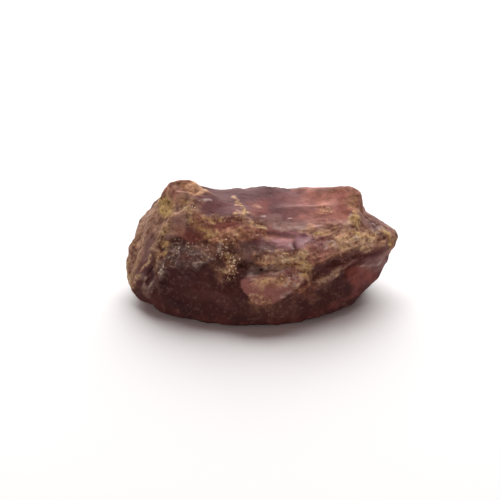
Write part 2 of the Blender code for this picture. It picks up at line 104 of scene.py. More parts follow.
# Ridge lines: where the stone's faces meet, from its knob at the left to its lobe at the right.
RIDGES = {
    "knob": [
        (-8.4, 2.2, 9.3), (-8.0, 2.4, 10.0), (-7.2, 2.6, 10.2), (-6.2, 2.8, 10.2), (-5.1, 3.2, 8.9),
        (-7.4, 1.2, 9.8), (-6.3, 1.4, 9.7), (-7.0, 0.6, 9.0)],
    "knob_back": [(-8.2, 3.6, 8.7), (-7.2, 4.2, 9.0), (-5.9, 4.2, 8.3)],
    "back_edge": [
        (-3.9, 3.4, 8.5), (-2.5, 3.5, 8.5), (-0.9, 3.6, 8.8), (1.0, 3.7, 8.9), (2.6, 3.8, 8.5),
        (4.2, 3.7, 8.5)],
    "shoulder": [
        (5.7, 3.4, 9.0), (7.1, 3.1, 9.4), (8.1, 2.7, 9.4), (8.8, 2.4, 9.0), (9.1, 2.1, 8.3),
        (9.1, 1.6, 7.4)],
    "shoulder_back": [(6.6, 4.5, 8.3), (8.2, 4.1, 8.4), (9.3, 3.1, 6.5)],
    "lobe_top": [(10.2, 2.2, 6.5), (11.2, 2.0, 5.9), (11.9, 1.6, 5.4), (12.0, 1.2, 5.2)],
    "table": [(-6.0, 1.5, 9.3), (-3.1, 1.4, 8.5), (0.8, 1.2, 8.2), (4.6, 1.8, 7.9), (7.3, 1.2, 8.6)],
    "table_front": [
        (-6.3, -0.1, 8.4), (-4.9, -0.4, 8.1), (-3.1, -0.6, 8.2), (-1.6, -0.6, 8.3), (-0.1, -1.1, 7.6),
        (1.7, -1.3, 7.3), (3.4, -1.4, 7.3), (5.2, -1.2, 7.5), (7.2, -0.7, 7.5), (8.3, 0.2, 7.7)],
    "left_ridge": [
        (-7.7, -0.5, 8.1), (-8.4, -1.0, 7.1), (-8.8, -1.5, 6.2), (-9.1, -2.0, 5.1), (-9.5, -2.4, 3.7),
        (-9.9, -2.7, 2.1), (-9.5, -2.9, 0.8)],
    "upper_front": [
        (-6.6, -0.8, 7.3), (-7.2, -1.7, 6.3), (-5.5, -2.0, 6.5), (-4.1, -3.1, 5.8), (-2.5, -2.5, 6.5),
        (-0.9, -2.2, 6.9), (0.5, -2.2, 6.8), (2.1, -2.5, 6.7), (3.6, -2.3, 7.0), (5.3, -2.1, 6.8),
        (7.1, -1.6, 6.6), (8.5, -0.6, 6.9), (10.1, 0.0, 6.2), (11.7, 0.5, 4.8)],
    "ledge": [
        (-8.5, -2.7, 4.8), (-6.1, -3.5, 5.2), (-4.1, -4.0, 5.1), (-2.5, -4.1, 5.0), (-1.3, -3.6, 5.5),
        (0.4, -3.7, 5.8), (2.1, -3.8, 5.9), (3.8, -3.4, 5.9), (5.6, -2.8, 6.1), (7.2, -2.2, 6.2),
        (8.7, -1.5, 6.2), (10.1, -0.8, 5.7)],
    "under_ledge": [
        (4.5, -3.4, 4.6), (5.9, -2.6, 4.8), (7.6, -1.8, 5.0), (9.3, -1.2, 4.8), (11.1, 0.0, 3.9)],
    "plate": [
        (-1.5, -4.3, 4.5), (0.3, -4.2, 4.9), (2.4, -4.2, 5.2), (3.8, -4.0, 5.0), (3.7, -4.8, 4.0),
        (2.6, -5.5, 3.0), (1.0, -5.8, 2.7), (-0.8, -5.7, 3.1), (-1.6, -5.0, 3.7), (0.8, -5.2, 4.1)],
    "belly": [
        (-8.1, -3.5, 3.0), (-5.7, -4.6, 3.3), (-3.4, -5.2, 3.3), (-1.4, -5.8, 2.0), (1.2, -5.9, 1.8),
        (4.0, -5.0, 2.5), (5.3, -3.9, 3.4), (5.6, -4.2, 2.0), (6.9, -2.8, 4.1), (7.4, -3.1, 2.4),
        (8.3, -2.1, 3.5), (9.5, -1.3, 3.5)],
    "foot": [
        (-8.8, -3.5, 0.5), (-7.4, -4.4, 0.5), (-5.7, -5.1, 0.5), (-3.9, -5.6, 0.5), (-1.8, -5.9, 0.5),
        (0.5, -6.0, 0.6), (3.4, -5.6, 0.5), (5.2, -4.8, 0.5), (6.9, -3.8, 0.6), (8.2, -2.9, 0.8),
        (9.1, -2.1, 1.4), (10.0, -1.3, 1.9), (10.8, -0.5, 2.5), (11.3, 0.1, 3.1), (11.5, 0.5, 4.2)],
    "left_side": [
        (-8.7, 1.6, 8.6), (-9.2, 1.5, 7.8), (-9.8, 1.4, 7.1), (-10.4, 1.3, 6.3), (-11.0, 1.0, 5.3),
        (-11.5, 0.7, 4.4), (-12.0, 0.2, 3.3), (-12.0, -0.3, 2.6), (-11.8, -1.1, 1.7), (-11.4, -1.8, 1.2),
        (-10.4, -2.4, 0.9)],
    "left_face": [(-9.6, 0.0, 6.2), (-10.3, -0.8, 4.6), (-10.6, -1.5, 2.9)],
    "back_crest": [
        (-9.4, 3.2, 7.5), (-6.4, 5.2, 7.4), (-3.0, 5.0, 7.5), (0.4, 5.4, 7.6), (3.6, 5.0, 7.9),
        (10.6, 3.4, 5.6)],
    "back_upper": [
        (-10.8, 2.9, 5.8), (-8.4, 4.8, 6.4), (-4.6, 5.9, 6.2), (-1.0, 6.0, 5.8), (2.6, 6.3, 5.6),
        (6.2, 5.8, 6.4), (9.0, 4.8, 5.6)],
    "back_middle": [
        (-11.2, 2.6, 3.4), (-8.2, 5.3, 3.8), (-4.4, 6.2, 3.0), (0.4, 6.5, 3.4), (4.4, 6.4, 2.8),
        (7.9, 5.5, 3.2), (10.6, 3.0, 3.4)],
    "back_foot": [
        (-11.0, 1.6, 1.0), (-8.8, 4.2, 1.0), (-4.8, 5.5, 0.6), (-0.4, 5.9, 0.5), (4.0, 5.7, 0.6),
        (7.6, 4.2, 0.8), (9.8, 2.2, 1.2), (9.2, 0.2, 0.9)],
    "rest_rim": [
        (-8.2, -2.3, -0.6), (-5.3, -3.9, -0.6), (-1.6, -4.8, -0.6), (2.8, -4.4, -0.6), (6.0, -2.8, -0.6),
        (7.8, 0.2, -0.6), (6.6, 3.0, -0.6), (2.6, 4.6, -0.6), (-2.6, 4.5, -0.6), (-7.2, 3.2, -0.6),
        (-9.2, 0.6, -0.6), (0.0, 0.4, -0.6)],
}

# Carvings follow a line on the skin: half width, crisp edge's width, height (a cut is negative), the way
# its crisp edge faces, and the line. The other edge fades out over the whole half width.
DOWN = (0.0, -0.5, -0.85)
UP = (0.0, 0.5, 0.85)
CARVINGS = {
    "knob_crease": (0.60, 0.50, -0.20, (0.8, 0.0, -0.5), [
        (-5.2, 2.4, 9.4), (-6.1, 1.5, 9.3), (-6.7, 0.8, 8.9), (-7.3, 0.0, 8.6)]),
    "left_stripe": (0.70, 0.25, 0.16, (-0.9, -0.2, 0.0), [
        (-7.7, -0.2, 8.4), (-8.4, -0.7, 7.1), (-8.7, -1.3, 6.0), (-8.8, -1.8, 5.0)]),
    "left_band": (0.70, 0.20, 0.16, (-0.9, -0.3, -0.3), [
        (-8.8, 0.9, 8.0), (-9.5, 0.5, 6.7), (-10.0, 0.0, 5.4), (-10.4, -0.9, 4.0), (-10.9, -1.4, 2.6)]),
    "left_crevice": (0.60, 0.25, -0.34, (0.9, -0.3, -0.3), [
        (-11.0, -1.8, 1.5), (-10.4, -1.9, 2.8), (-9.8, -1.9, 4.0), (-9.5, -1.7, 5.0)]),
    "grey_edge": (0.80, 0.25, 0.22, (0.9, -0.3, -0.4), [
        (-7.9, -2.0, 5.3), (-8.5, -2.3, 4.1), (-9.2, -2.6, 2.9), (-9.8, -2.8, 2.0)]),
    "lip": (0.90, 0.50, 0.14, DOWN, [
        (-6.4, 0.3, 8.5), (-5.5, -0.4, 7.8), (-4.7, -1.3, 7.3), (-3.6, -1.9, 6.9), (-2.4, -1.9, 6.9)]),
    "ledge_crest": (0.95, 0.30, 0.26, DOWN, [
        (-2.8, -1.9, 6.9), (-3.7, -2.4, 6.3), (-4.4, -2.9, 5.9), (-5.4, -3.2, 5.6), (-6.6, -3.2, 5.3)]),
    "glint_ridge": (0.60, 0.40, 0.18, (1.0, 0.0, 0.0), [
        (-3.1, -2.5, 6.5), (-2.8, -3.0, 5.8), (-2.6, -3.5, 5.3), (-2.8, -4.0, 4.8), (-2.9, -4.4, 4.2)]),
    "pit": (0.75, 0.35, -0.60, UP, [(-1.5, -3.7, 5.2), (-1.0, -3.9, 5.0), (-0.3, -4.1, 4.9)]),
    "groove": (0.40, 0.20, -0.34, UP, [
        (0.1, -4.1, 5.0), (1.0, -3.9, 5.2), (2.2, -3.9, 5.4), (3.4, -3.7, 5.3)]),
    "plate": (1.50, 0.22, 0.36, (0.5, -0.4, -0.75), [
        (-0.7, -5.2, 3.8), (0.5, -5.2, 3.9), (1.8, -4.9, 4.1), (2.9, -4.6, 4.4)]),
    "band": (0.95, 0.35, 0.24, DOWN, [
        (0.1, -3.4, 6.1), (1.7, -3.3, 6.3), (3.4, -3.0, 6.4), (5.3, -2.5, 6.5), (7.2, -1.9, 6.7),
        (8.9, -0.9, 6.6)]),
    "recess": (0.90, 0.50, -0.28, UP, [
        (5.2, -3.0, 4.9), (6.1, -2.6, 5.1), (7.0, -2.3, 5.3), (8.0, -1.8, 5.4), (9.1, -1.3, 5.3)]),
    "lower_recess": (0.45, 0.25, -0.18, UP, [
        (4.6, -3.8, 3.9), (5.3, -3.2, 4.1), (6.2, -2.8, 4.4), (7.4, -2.1, 4.7)]),
    "beige_strip": (0.70, 0.30, 0.20, DOWN, [
        (4.9, -3.9, 3.5), (5.8, -3.2, 4.0), (6.6, -2.7, 4.4), (7.4, -2.2, 4.7)]),
    "shoulder_rib": (0.60, 0.35, 0.16, (1.0, 0.0, -0.2), [
        (8.6, 2.1, 8.8), (8.5, 1.5, 8.2), (8.3, 0.5, 7.7), (8.0, -0.4, 7.2)]),
}

# The table on top is worn smooth around this line, as far as this reach, with a soft edge, by this share.
TABLE_LINE = [(-5.3, 1.1, 9.1), (-3.1, 1.3, 8.5), (0.1, 1.2, 8.3), (3.5, 1.9, 7.8), (7.0, 1.7, 8.1)]
TABLE_REACH = 2.6
TABLE_EDGE = 1.2
TABLE_WEAR = 0.75

# Thin layers that break off in steps: reach, step, height, the way across the layers, and the line. A layer
# rises over this share of its step and falls over the rest.
LAYER_RISE = 0.7
LAYER_FALL = 0.3
LAYERS = {
    "left": (3.0, 1.00, 0.12, (1.0, 0.35, -0.25), [(-9.4, 1.2, 7.8), (-10.4, 0.0, 5.0), (-10.8, -1.0, 2.6)]),
    "right": (3.0, 0.75, 0.12, (-0.30, 0.2, 1.0), [(6.8, -2.4, 4.4), (9.0, -1.0, 4.8), (11.0, 0.8, 4.8)]),
    "back": (6.5, 2.10, 0.16, (0.30, 0.1, 1.0), [(-7.0, 5.4, 5.0), (7.0, 5.4, 5.0)]),
}

# Facets: outlines of the stone's main faces and zones as they show in the camera's frame, by finish. Each
# has its strength, the width of its soft edge in frame units, and its corners, across and down.
FACETS = {
    "brown": {
        "knob_right": (0.7, 5, [(186, 180), (201, 185), (198, 192), (188, 194)]),
        "knob": (0.85, 6, [
            (165, 184), (171, 179), (190, 179), (201, 186), (192, 196), (184, 204), (176, 204), (174, 196),
            (166, 197)]),
        "upper_band": (0.55, 8, [
            (184, 202), (194, 206), (204, 215), (222, 217), (240, 216), (258, 222), (268, 228), (268, 240),
            (252, 239), (240, 242), (222, 244), (206, 240), (196, 232), (186, 222)]),
        "crumbs": (0.35, 8, [
            (222, 242), (240, 240), (248, 250), (244, 264), (234, 272), (222, 270), (220, 256)]),
        "middle": (0.2, 8, [
            (184, 242), (200, 240), (220, 244), (222, 252), (210, 258), (196, 262), (184, 252)]),
        "band": (0.9, 5, [
            (262, 258), (284, 250), (312, 252), (330, 247), (350, 242), (368, 242), (358, 250), (340, 256),
            (325, 260), (314, 268), (300, 266), (285, 268), (266, 265)]),
        "middle_right": (0.9, 8, [
            (314, 228), (336, 228), (354, 224), (356, 240), (340, 246), (322, 250), (304, 250), (306, 240)]),
        "fan": (0.9, 7, [
            (350, 226), (364, 223), (374, 232), (392, 232), (402, 242), (380, 249), (360, 252), (350, 244)]),
    },
    "tan": {
        "left_rim": (0.9, 5, [
            (163, 196), (148, 208), (136, 224), (127, 243), (121, 260), (120, 276), (130, 293), (136, 284),
            (141, 262), (146, 246), (152, 232), (158, 222), (166, 210)]),
        "shoulder_side": (0.8, 7, [(351, 190), (362, 194), (363, 212), (360, 226), (350, 228), (351, 210)]),
        "fan_foot": (0.6, 5, [(352, 246), (372, 244), (374, 251), (358, 254)]),
    },
    "rust": {
        "band_end": (0.8, 6, [(297, 266), (305, 264), (311, 270), (308, 280), (302, 282), (303, 274)]),
        "plate_middle": (0.4, 6, [(260, 277), (282, 274), (284, 284), (272, 290), (260, 287)]),
    },
    "olive": {
        "knob_patch": (0.95, 4, [(160, 199), (167, 197), (172, 205), (173, 213), (165, 216), (158, 212)]),
        "band_end": (0.4, 5, [(300, 267), (308, 266), (310, 274), (303, 276)]),
    },
    "mauve": {
        "bevel": (1.0, 7, [
            (256, 223), (284, 222), (312, 221), (350, 219), (353, 229), (334, 230), (314, 232), (298, 232),
            (282, 230), (266, 228)]),
        "left_upper": (0.35, 7, [(159, 207), (166, 214), (160, 228), (150, 239), (141, 241), (146, 226)]),
        "left_facet": (0.6, 4, [(143, 240), (155, 237), (154, 250), (152, 260), (143, 262), (142, 252)]),
        "slope": (0.9, 6, [
            (176, 207), (185, 206), (184, 220), (178, 232), (168, 240), (163, 237), (169, 222)]),
        "lobe_top": (0.5, 6, [
            (362, 214), (374, 216), (386, 222), (394, 231), (384, 233), (372, 231), (364, 226)]),
    },
    "plum": {
        "left_low": (0.85, 5, [(142, 258), (152, 258), (148, 272), (138, 288), (132, 286), (138, 270)]),
        "table": (1.0, 6, [
            (198, 190), (230, 189), (260, 187), (285, 189), (308, 190), (318, 198), (322, 214), (312, 223),
            (285, 222), (262, 221), (246, 214), (228, 213), (205, 215), (194, 206)]),
        "under_table": (0.8, 6, [
            (244, 228), (258, 230), (266, 226), (284, 230), (300, 233), (316, 232), (312, 240), (290, 250),
            (268, 250), (250, 244)]),
        "lobe_top": (0.4, 6, [
            (362, 211), (376, 212), (390, 218), (400, 228), (386, 235), (374, 234), (364, 228)]),
        "lobe_low": (0.6, 8, [
            (360, 256), (380, 247), (394, 246), (389, 262), (379, 276), (366, 288), (354, 286), (362, 274),
            (350, 264)]),
        "recess": (0.8, 6, [
            (314, 272), (319, 266), (334, 258), (352, 252), (361, 250), (364, 256), (352, 262), (338, 268),
            (326, 274)]),
    },
    "rose": {
        "mid_right": (0.4, 8, [(300, 242), (345, 236), (350, 249), (330, 256), (300, 263)]),
        "table_right": (0.75, 24, [(282, 199), (300, 192), (320, 194), (330, 216), (314, 220), (294, 217)]),
        "plate": (1.0, 3.5, [
            (239, 279), (248, 275), (266, 272), (281, 269), (297, 267), (305, 270), (306, 279), (299, 286),
            (291, 292), (282, 299), (273, 303), (260, 304), (252, 302), (248, 295), (241, 288)]),
        "red_band": (0.7, 6, [(214, 221), (230, 220), (240, 224), (238, 229), (226, 229), (216, 228)]),
        "pink_facet": (0.9, 5, [(270, 234), (284, 236), (292, 242), (288, 249), (276, 249), (270, 243)]),
    },
    "coral": {
        "shoulder": (1.0, 20, [
            (305, 189), (325, 182), (345, 183), (359, 190), (361, 206), (353, 218), (335, 220), (318, 214),
            (309, 204)]),
        "magenta": (0.45, 6, [(317, 234), (328, 232), (330, 246), (321, 248), (317, 244)]),
        "band_pink": (0.8, 7, [(303, 256), (318, 254), (332, 252), (326, 260), (314, 264), (304, 262)]),
    },
    "lilac": {
        "facet": (0.85, 4, [(295, 239), (301, 236), (310, 236), (309, 242), (303, 248), (296, 249)]),
        "strip": (0.5, 6, [(274, 230), (296, 233), (306, 233), (298, 237), (284, 236)]),
        "magenta": (0.4, 5, [(318, 238), (326, 238), (325, 246), (319, 246)]),
    },
    # Red stains and painted glow: the glow facet paints red light that comes through a thin place.
    "red_and_painted_glow": {
        "upper_band": (0.4, 8, [
            (188, 208), (204, 216), (222, 218), (240, 217), (258, 222), (268, 230), (262, 240), (240, 242),
            (222, 243), (206, 239), (196, 231)]),
        "red_zone": (0.5, 7, [(250, 201), (268, 200), (271, 211), (262, 217), (251, 213)]),
        "triangle": (0.65, 8, [(175, 230), (186, 229), (197, 233), (206, 240), (196, 243), (182, 240)]),
        "red_pocket": (0.8, 5, [(242, 226), (258, 227), (268, 234), (260, 238), (246, 238)]),
        "glow": (0.7, 12, [(345, 268), (356, 264), (364, 270), (362, 281), (352, 284), (345, 279)]),
    },
    "slate": {
        "left_dark": (0.8, 6, [
            (166, 246), (176, 244), (186, 246), (200, 250), (208, 258), (198, 266), (178, 268), (166, 266),
            (160, 262)]),
        "under_facet": (0.4, 6, [
            (241, 246), (256, 242), (268, 244), (280, 250), (270, 255), (252, 256), (242, 253)]),
        "grey_streak": (0.9, 4, [
            (171, 245), (168, 256), (158, 270), (147, 288), (143, 292), (152, 291), (161, 279), (169, 267),
            (175, 256)]),
    },
    # Dark tone and painted shade: these darken the hole under the ledge and other places where shade falls.
    "dark_and_painted_shade": {
        "table_back": (0.5, 12, [
            (200, 189), (232, 188), (262, 186), (286, 187), (276, 195), (256, 198), (236, 203), (216, 198),
            (202, 196)]),
        "hole": (0.55, 5, [
            (234, 264), (244, 260), (256, 261), (264, 265), (258, 270), (246, 274), (236, 273)]),
        "dark_facet": (0.5, 5, [(197, 266), (208, 262), (221, 256), (226, 262), (225, 271), (210, 272)]),
        "crumbs": (0.45, 5, [(223, 243), (232, 242), (240, 256), (238, 268), (230, 262), (226, 258)]),
    },
}
# Finishes: strokes laid on the stone as it shows in the frame, over the facets. Each has its strength, its
# reach in frame units, and its line.
FINISHES = {
    "brown": {
        "left_crumbs": (0.6, 4, [(216, 264), (222, 272)]),
        "recess_end": (0.4, 7, [(345, 250), (354, 262)]),
        "table_end": (0.7, 5, [(188, 203), (189, 213), (194, 222)]),
        "fan_foot": (0.9, 4, [(358, 248), (370, 249)]),
        "belly_end": (0.4, 6, [(314, 280), (326, 286)]),
        "crust_low": (0.8, 5, [(262, 267), (276, 266), (290, 266)]),
        "knob_left": (0.8, 5, [(165, 190), (168, 199)]),
        "under_table": (0.8, 5, [(308, 230), (320, 229), (334, 229), (346, 230)]),
        "middle_right": (0.8, 9, [(320, 228), (336, 232), (348, 240)]),
        "middle": (0.3, 6, [(196, 246), (202, 250), (214, 248)]),
        "recess_band": (0.9, 2.5, [(320, 263), (334, 258), (350, 252)]),
        "specks": (0.4, 5, [(236, 204), (244, 214), (254, 222)]),
        "foot": (0.12, 9, [(258, 311), (274, 311), (290, 307)]),
    },
    "tan": {
        "table_edge": (0.6, 4, [(245, 219), (256, 221), (266, 223)]),
        "lobe_foot": (0.7, 4, [(362, 213), (368, 218)]),
        "left_foot": (0.6, 4, [(141, 277), (143, 291)]),
        "lobe_low": (0.4, 3, [(366, 250), (384, 257)]),
        "left_ridge": (0.5, 7, [(160, 220), (162, 238)]),
        "recess_top": (0.5, 4, [(344, 250), (356, 251)]),
        "lobe_tip": (0.8, 4, [(393, 229), (397, 237), (394, 246)]),
        "lobe_top": (0.5, 6, [(366, 215), (378, 221), (389, 229)]),
        "beige_strip": (0.9, 4, [(337, 271), (328, 276), (318, 282)]),
        "left_edge": (0.6, 7, [(130, 256), (130, 274), (133, 288)]),
        "left_top": (0.5, 5, [(150, 212), (142, 224)]),
        "left_face": (0.7, 6, [(150, 218), (158, 226)]),
        "crumbs": (0.5, 5, [(244, 262), (250, 266)]),
        "stripe": (0.8, 5, [(158, 228), (156, 240), (155, 256), (156, 268)]),
        "slope": (0.7, 5, [(181, 216), (181, 226), (180, 231)]),
        "knob_foot": (0.9, 6, [(186, 198), (196, 203)]),
        "shoulder_rim": (0.7, 4, [(350, 190), (354, 200), (355, 208)]),
        "lobe_end": (0.9, 5, [(391, 234), (392, 244), (390, 252)]),
        "recess": (0.5, 4, [(330, 266), (346, 262), (354, 258)]),
        "table": (0.4, 3, [(232, 200), (236, 208)]),
        "groove": (0.7, 4, [(260, 269), (272, 267), (288, 266)]),
    },
    "rust": {
        "crust_end": (0.4, 5, [(256, 264), (262, 265)]),
        "band_red": (0.6, 5, [(294, 263), (304, 263)]),
        "upper_band": (0.6, 6, [(196, 224), (208, 232), (220, 238), (234, 238)]),
        "shoulder_rim": (0.4, 3, [(330, 187), (345, 188), (354, 191)]),
        "knob_rim": (0.9, 5, [(188, 185), (196, 185), (201, 188)]),
        "plate_foot": (0.4, 4, [(254, 300), (266, 302)]),
        "crumbs": (0.5, 5, [(228, 256), (233, 264)]),
        "left_orange": (0.7, 3, [(155, 251), (160, 253)]),
        "third_band": (0.7, 5, [(230, 232), (238, 232), (244, 234)]),
        "under_crack": (0.6, 5, [(258, 232), (266, 236)]),
        "front_band": (0.6, 6, [(264, 264), (282, 261), (298, 262)]),
        "lobe_end": (0.6, 4, [(388, 234), (393, 242)]),
        "belly_right": (0.2, 7, [(300, 292), (312, 292)]),
    },
    "mauve": {
        "left_dark": (0.6, 6, [(184, 218), (184, 230)]),
        "lobe_end": (0.6, 4, [(390, 232), (394, 240)]),
        "grey_mid": (0.7, 6, [(240, 243), (248, 250), (249, 258)]),
        "table_front": (0.7, 5, [(244, 216), (258, 217), (274, 217)]),
        "under_table": (0.8, 5, [(306, 228), (320, 228), (334, 227), (346, 227)]),
        "slope": (0.6, 6, [(172, 213), (180, 218), (182, 226)]),
        "beige_strip": (0.5, 5, [(337, 272), (328, 276), (318, 281)]),
        "knob_back": (0.6, 5, [(184, 192), (192, 194)]),
        "lobe_low": (0.5, 6, [(364, 266), (374, 264), (384, 260)]),
    },
    "plum": {
        "knob_back": (0.7, 3, [(186, 192), (193, 194), (201, 196)]),
        "table_left": (0.9, 6, [(224, 207), (236, 208)]),
        "table_back": (0.5, 6, [(222, 194), (262, 195)]),
        "pink_facet": (0.8, 5, [(284, 241), (288, 246)]),
        "facet_foot": (0.8, 5, [(268, 247), (279, 248), (288, 249)]),
        "table_end": (0.4, 4, [(306, 222), (318, 222)]),
        "left_edge": (0.5, 4, [(130, 243), (130, 252)]),
        "shoulder_top": (0.6, 4, [(320, 187), (332, 185), (340, 185)]),
        "band_right": (0.6, 5, [(320, 250), (340, 251)]),
        "violet_edge": (0.9, 3, [(312, 239), (313, 246)]),
        "plate_arc": (0.6, 1.5, [(295, 275), (297, 283), (291, 290)]),
        "middle_right": (0.4, 6, [(330, 238), (340, 244)]),
        "under_lobe": (0.7, 4, [(376, 250), (386, 250)]),
    },
    "rose": {
        "band_right": (0.5, 5, [(322, 250), (340, 250)]),
        "slope": (0.7, 5, [(178, 227), (188, 232)]),
        "under_table": (0.6, 5, [(270, 236), (284, 238), (296, 235)]),
        "knob": (0.5, 7, [(168, 186), (178, 190)]),
        "belly_spots": (0.1, 9, [(190, 290), (206, 296), (226, 300)]),
        "right": (0.3, 6, [(362, 272), (372, 270)]),
        "knob_left": (0.5, 5, [(166, 190), (168, 196)]),
    },
    "coral": {
        "shoulder_foot": (0.6, 5, [(332, 215), (343, 215)]),
        "band_pink": (0.8, 4, [(306, 250), (314, 251)]),
        "shoulder_red": (0.7, 6, [(346, 200), (350, 208)]),
        "table_end": (0.5, 5, [(300, 216), (318, 219), (336, 222)]),
        "knob": (0.8, 4, [(170, 189), (173, 197)]),
        "shoulder_top": (0.3, 5, [(326, 189), (338, 188)]),
        "shoulder_left": (0.5, 5, [(309, 192), (312, 202)]),
        "under_table": (0.5, 5, [(272, 228), (286, 232), (290, 238)]),
        "under_table_right": (0.4, 5, [(290, 230), (308, 230), (325, 229)]),
        "middle_right": (0.5, 8, [(334, 230), (346, 236)]),
        "crust": (0.5, 5, [(268, 259), (286, 257), (302, 259)]),
    },
    # Red stains and painted glow: foot, left_foot, right_foot, glow_low and lobe_edge paint red light
    # through thin edges.
    "red_and_painted_glow": {
        "hole": (0.4, 4, [(240, 269), (250, 269), (262, 271)]),
        "red_patch": (0.5, 5, [(220, 225), (230, 225)]),
        "glow_low": (0.4, 7, [(356, 282), (364, 282), (370, 274)]),
        "shoulder_red": (0.5, 5, [(339, 190), (340, 204)]),
        "shoulder_deep": (0.4, 5, [(346, 198), (349, 212)]),
        "shoulder_end": (0.4, 4, [(348, 198), (350, 210)]),
        "foot": (0.2, 3, [(200, 321), (222, 324), (250, 325), (276, 324), (300, 320), (320, 314)]),
        "left_foot": (0.12, 4, [(154, 300), (160, 309), (176, 314)]),
        "right_foot": (0.4, 3, [(330, 308), (344, 300), (358, 290)]),
        "under_plate": (0.5, 7, [(304, 290), (314, 290)]),
        "table_red": (0.25, 8, [(254, 206), (262, 212)]),
        "lobe_edge": (0.4, 4, [(362, 284), (372, 276)]),
    },
    "lilac": {
        "beside": (0.4, 4, [(318, 241), (324, 246)]),
        "pink_facet": (0.5, 5, [(276, 240), (288, 243)]),
    },
    "slate": {
        "middle": (0.4, 6, [(184, 252), (196, 258), (196, 265)]),
        "facet_foot": (0.5, 5, [(268, 246), (278, 250)]),
        "recess": (0.3, 5, [(320, 270), (334, 264), (350, 257)]),
        "lobe_top": (0.5, 4, [(368, 220), (380, 226)]),
        "knob_back": (0.5, 3, [(186, 193), (196, 193), (206, 192)]),
    },
    # Dark tone and painted shade in creases, recesses and under ledges; shoulder_streak darkens a highlight.
    "dark_and_painted_shade": {
        "shoulder_top": (0.5, 4, [(318, 187), (340, 185)]),
        "knob_spot": (0.3, 3, [(180, 193), (184, 195)]),
        "knob_foot": (0.35, 5, [(180, 208), (196, 208)]),
        "shoulder_streak": (0.35, 5, [(286, 205), (312, 204), (334, 203)]),
        "red_pocket": (0.35, 5, [(246, 229), (258, 235)]),
        "middle": (0.4, 5, [(190, 257), (210, 260)]),
        "middle_right": (0.5, 4, [(218, 249), (224, 252)]),
        "recess_end": (0.6, 2, [(356, 253), (361, 250)]),
        "left_crevice": (0.5, 2, [(148, 264), (143, 273), (138, 284)]),
        "band_shade": (0.6, 1.5, [(288, 253), (300, 251), (312, 250)]),
        "recess_rim": (0.5, 1.5, [(317, 266), (330, 259), (346, 254), (358, 249)]),
        "belly_right": (0.5, 7, [(316, 292), (328, 288), (342, 284)]),
        "left_low": (0.6, 3, [(133, 289), (142, 297), (152, 300)]),
        "under_table": (0.6, 2.5, [(268, 232), (282, 234), (294, 235)]),
    },
    "amber": {
        # Painted light: slope and slope_left lighten faces that lie in shade.
        "slope": (0.35, 5, [(180, 218), (182, 228)]),
        "slope_left": (0.45, 6, [(168, 212), (168, 226)]),
        "knob_side": (0.35, 8, [(168, 198), (182, 202), (194, 203)]),
        "knob_foot": (0.6, 3, [(195, 189), (206, 189)]),
        "shoulder_rim": (0.5, 4, [(352, 196), (353, 206)]),
        # Painted light: this lightens the shaded groove.
        "groove": (0.3, 3, [(264, 266), (276, 263), (288, 262)]),
        "crust_left": (0.5, 4, [(271, 256), (276, 262)]),
        "left_blob": (0.4, 2, [(168, 246), (164, 254)]),
        "knob_top": (0.7, 3, [(188, 184), (196, 185), (203, 188)]),
        "knob_patch": (0.7, 5, [(166, 196), (170, 206)]),
        "fan": (0.8, 7, [(340, 245), (352, 246), (366, 238)]),
        # Painted light: this lightens the shaded face under the table's edge.
        "under_table": (0.6, 5, [(308, 229), (322, 229), (336, 228), (346, 228)]),
        "crust": (0.5, 5, [(266, 258), (282, 257), (300, 259), (314, 257)]),
        "band_end": (0.5, 4, [(300, 270), (308, 272), (310, 277)]),
        "knob_rim": (0.8, 3, [(190, 187), (198, 187)]),
        "spot": (0.8, 2.5, [(232, 238), (238, 236)]),
        "crack_foot": (0.4, 5, [(246, 224), (262, 224)]),
        "crack": (0.6, 1.5, [(234, 195), (238, 199)]),
        "crack_low": (0.6, 1.3, [(236, 204), (242, 205)]),
        "table": (0.4, 2.5, [(256, 204), (260, 206)]),
        "middle_right": (0.6, 6, [(336, 234), (346, 240)]),
        "plate": (0.5, 5, [(262, 280), (276, 278), (284, 282)]),
        "left_spot": (0.5, 3, [(136, 248), (141, 242)]),
        "left_orange": (0.7, 2.5, [(156, 251), (158, 253)]),
    },
    "olive": {
        "stripe": (0.25, 3, [(170, 214), (165, 225), (161, 238)]),
        "left_blob": (0.2, 2.5, [(168, 245), (166, 250), (163, 254)]),
        "upper_band": (0.2, 3, [(196, 223), (204, 229), (210, 234)]),
        "crack": (0.3, 2, [(245, 206), (247, 211)]),
        "shoulder_foot": (0.4, 3, [(357, 214), (355, 226)]),
        "fan": (0.5, 4, [(356, 236), (364, 238)]),
        "lobe_rim": (0.6, 2.5, [(386, 231), (391, 238), (391, 245)]),
        "left_edge": (0.5, 2, [(127, 262), (126, 272), (129, 284)]),
    },
    "ochre": {
        "knob_patch": (0.9, 6, [(162, 200), (166, 207), (171, 212)]),
        "stripe": (0.7, 3, [(172, 213), (167, 223), (161, 236)]),
        "stripe_low": (0.9, 4, [(160, 246), (157, 254)]),
        "crack": (0.8, 1.8, [(236, 199), (240, 204), (245, 208), (244, 214), (246, 219)]),
        "crack_foot": (0.8, 2, [(248, 221), (256, 223), (265, 226)]),
        "specks": (0.5, 5, [(234, 211), (240, 216), (246, 214)]),
        "table_end": (0.8, 4, [(187, 203), (188, 212), (190, 222)]),
        "upper_band": (0.7, 4, [(196, 223), (204, 229), (210, 234), (220, 238)]),
        "second_band": (0.7, 4, [(203, 219), (212, 221), (220, 219)]),
        "third_band": (0.6, 4, [(230, 235), (238, 232), (242, 228)]),
        "crumbs": (0.7, 4, [(226, 254), (231, 260)]),
        "front_band": (0.8, 5, [(268, 262), (276, 259), (284, 258)]),
        "front_line": (0.6, 3, [(290, 256), (304, 254), (318, 252)]),
        "band_end": (1.0, 3.5, [(302, 268), (308, 270), (307, 276)]),
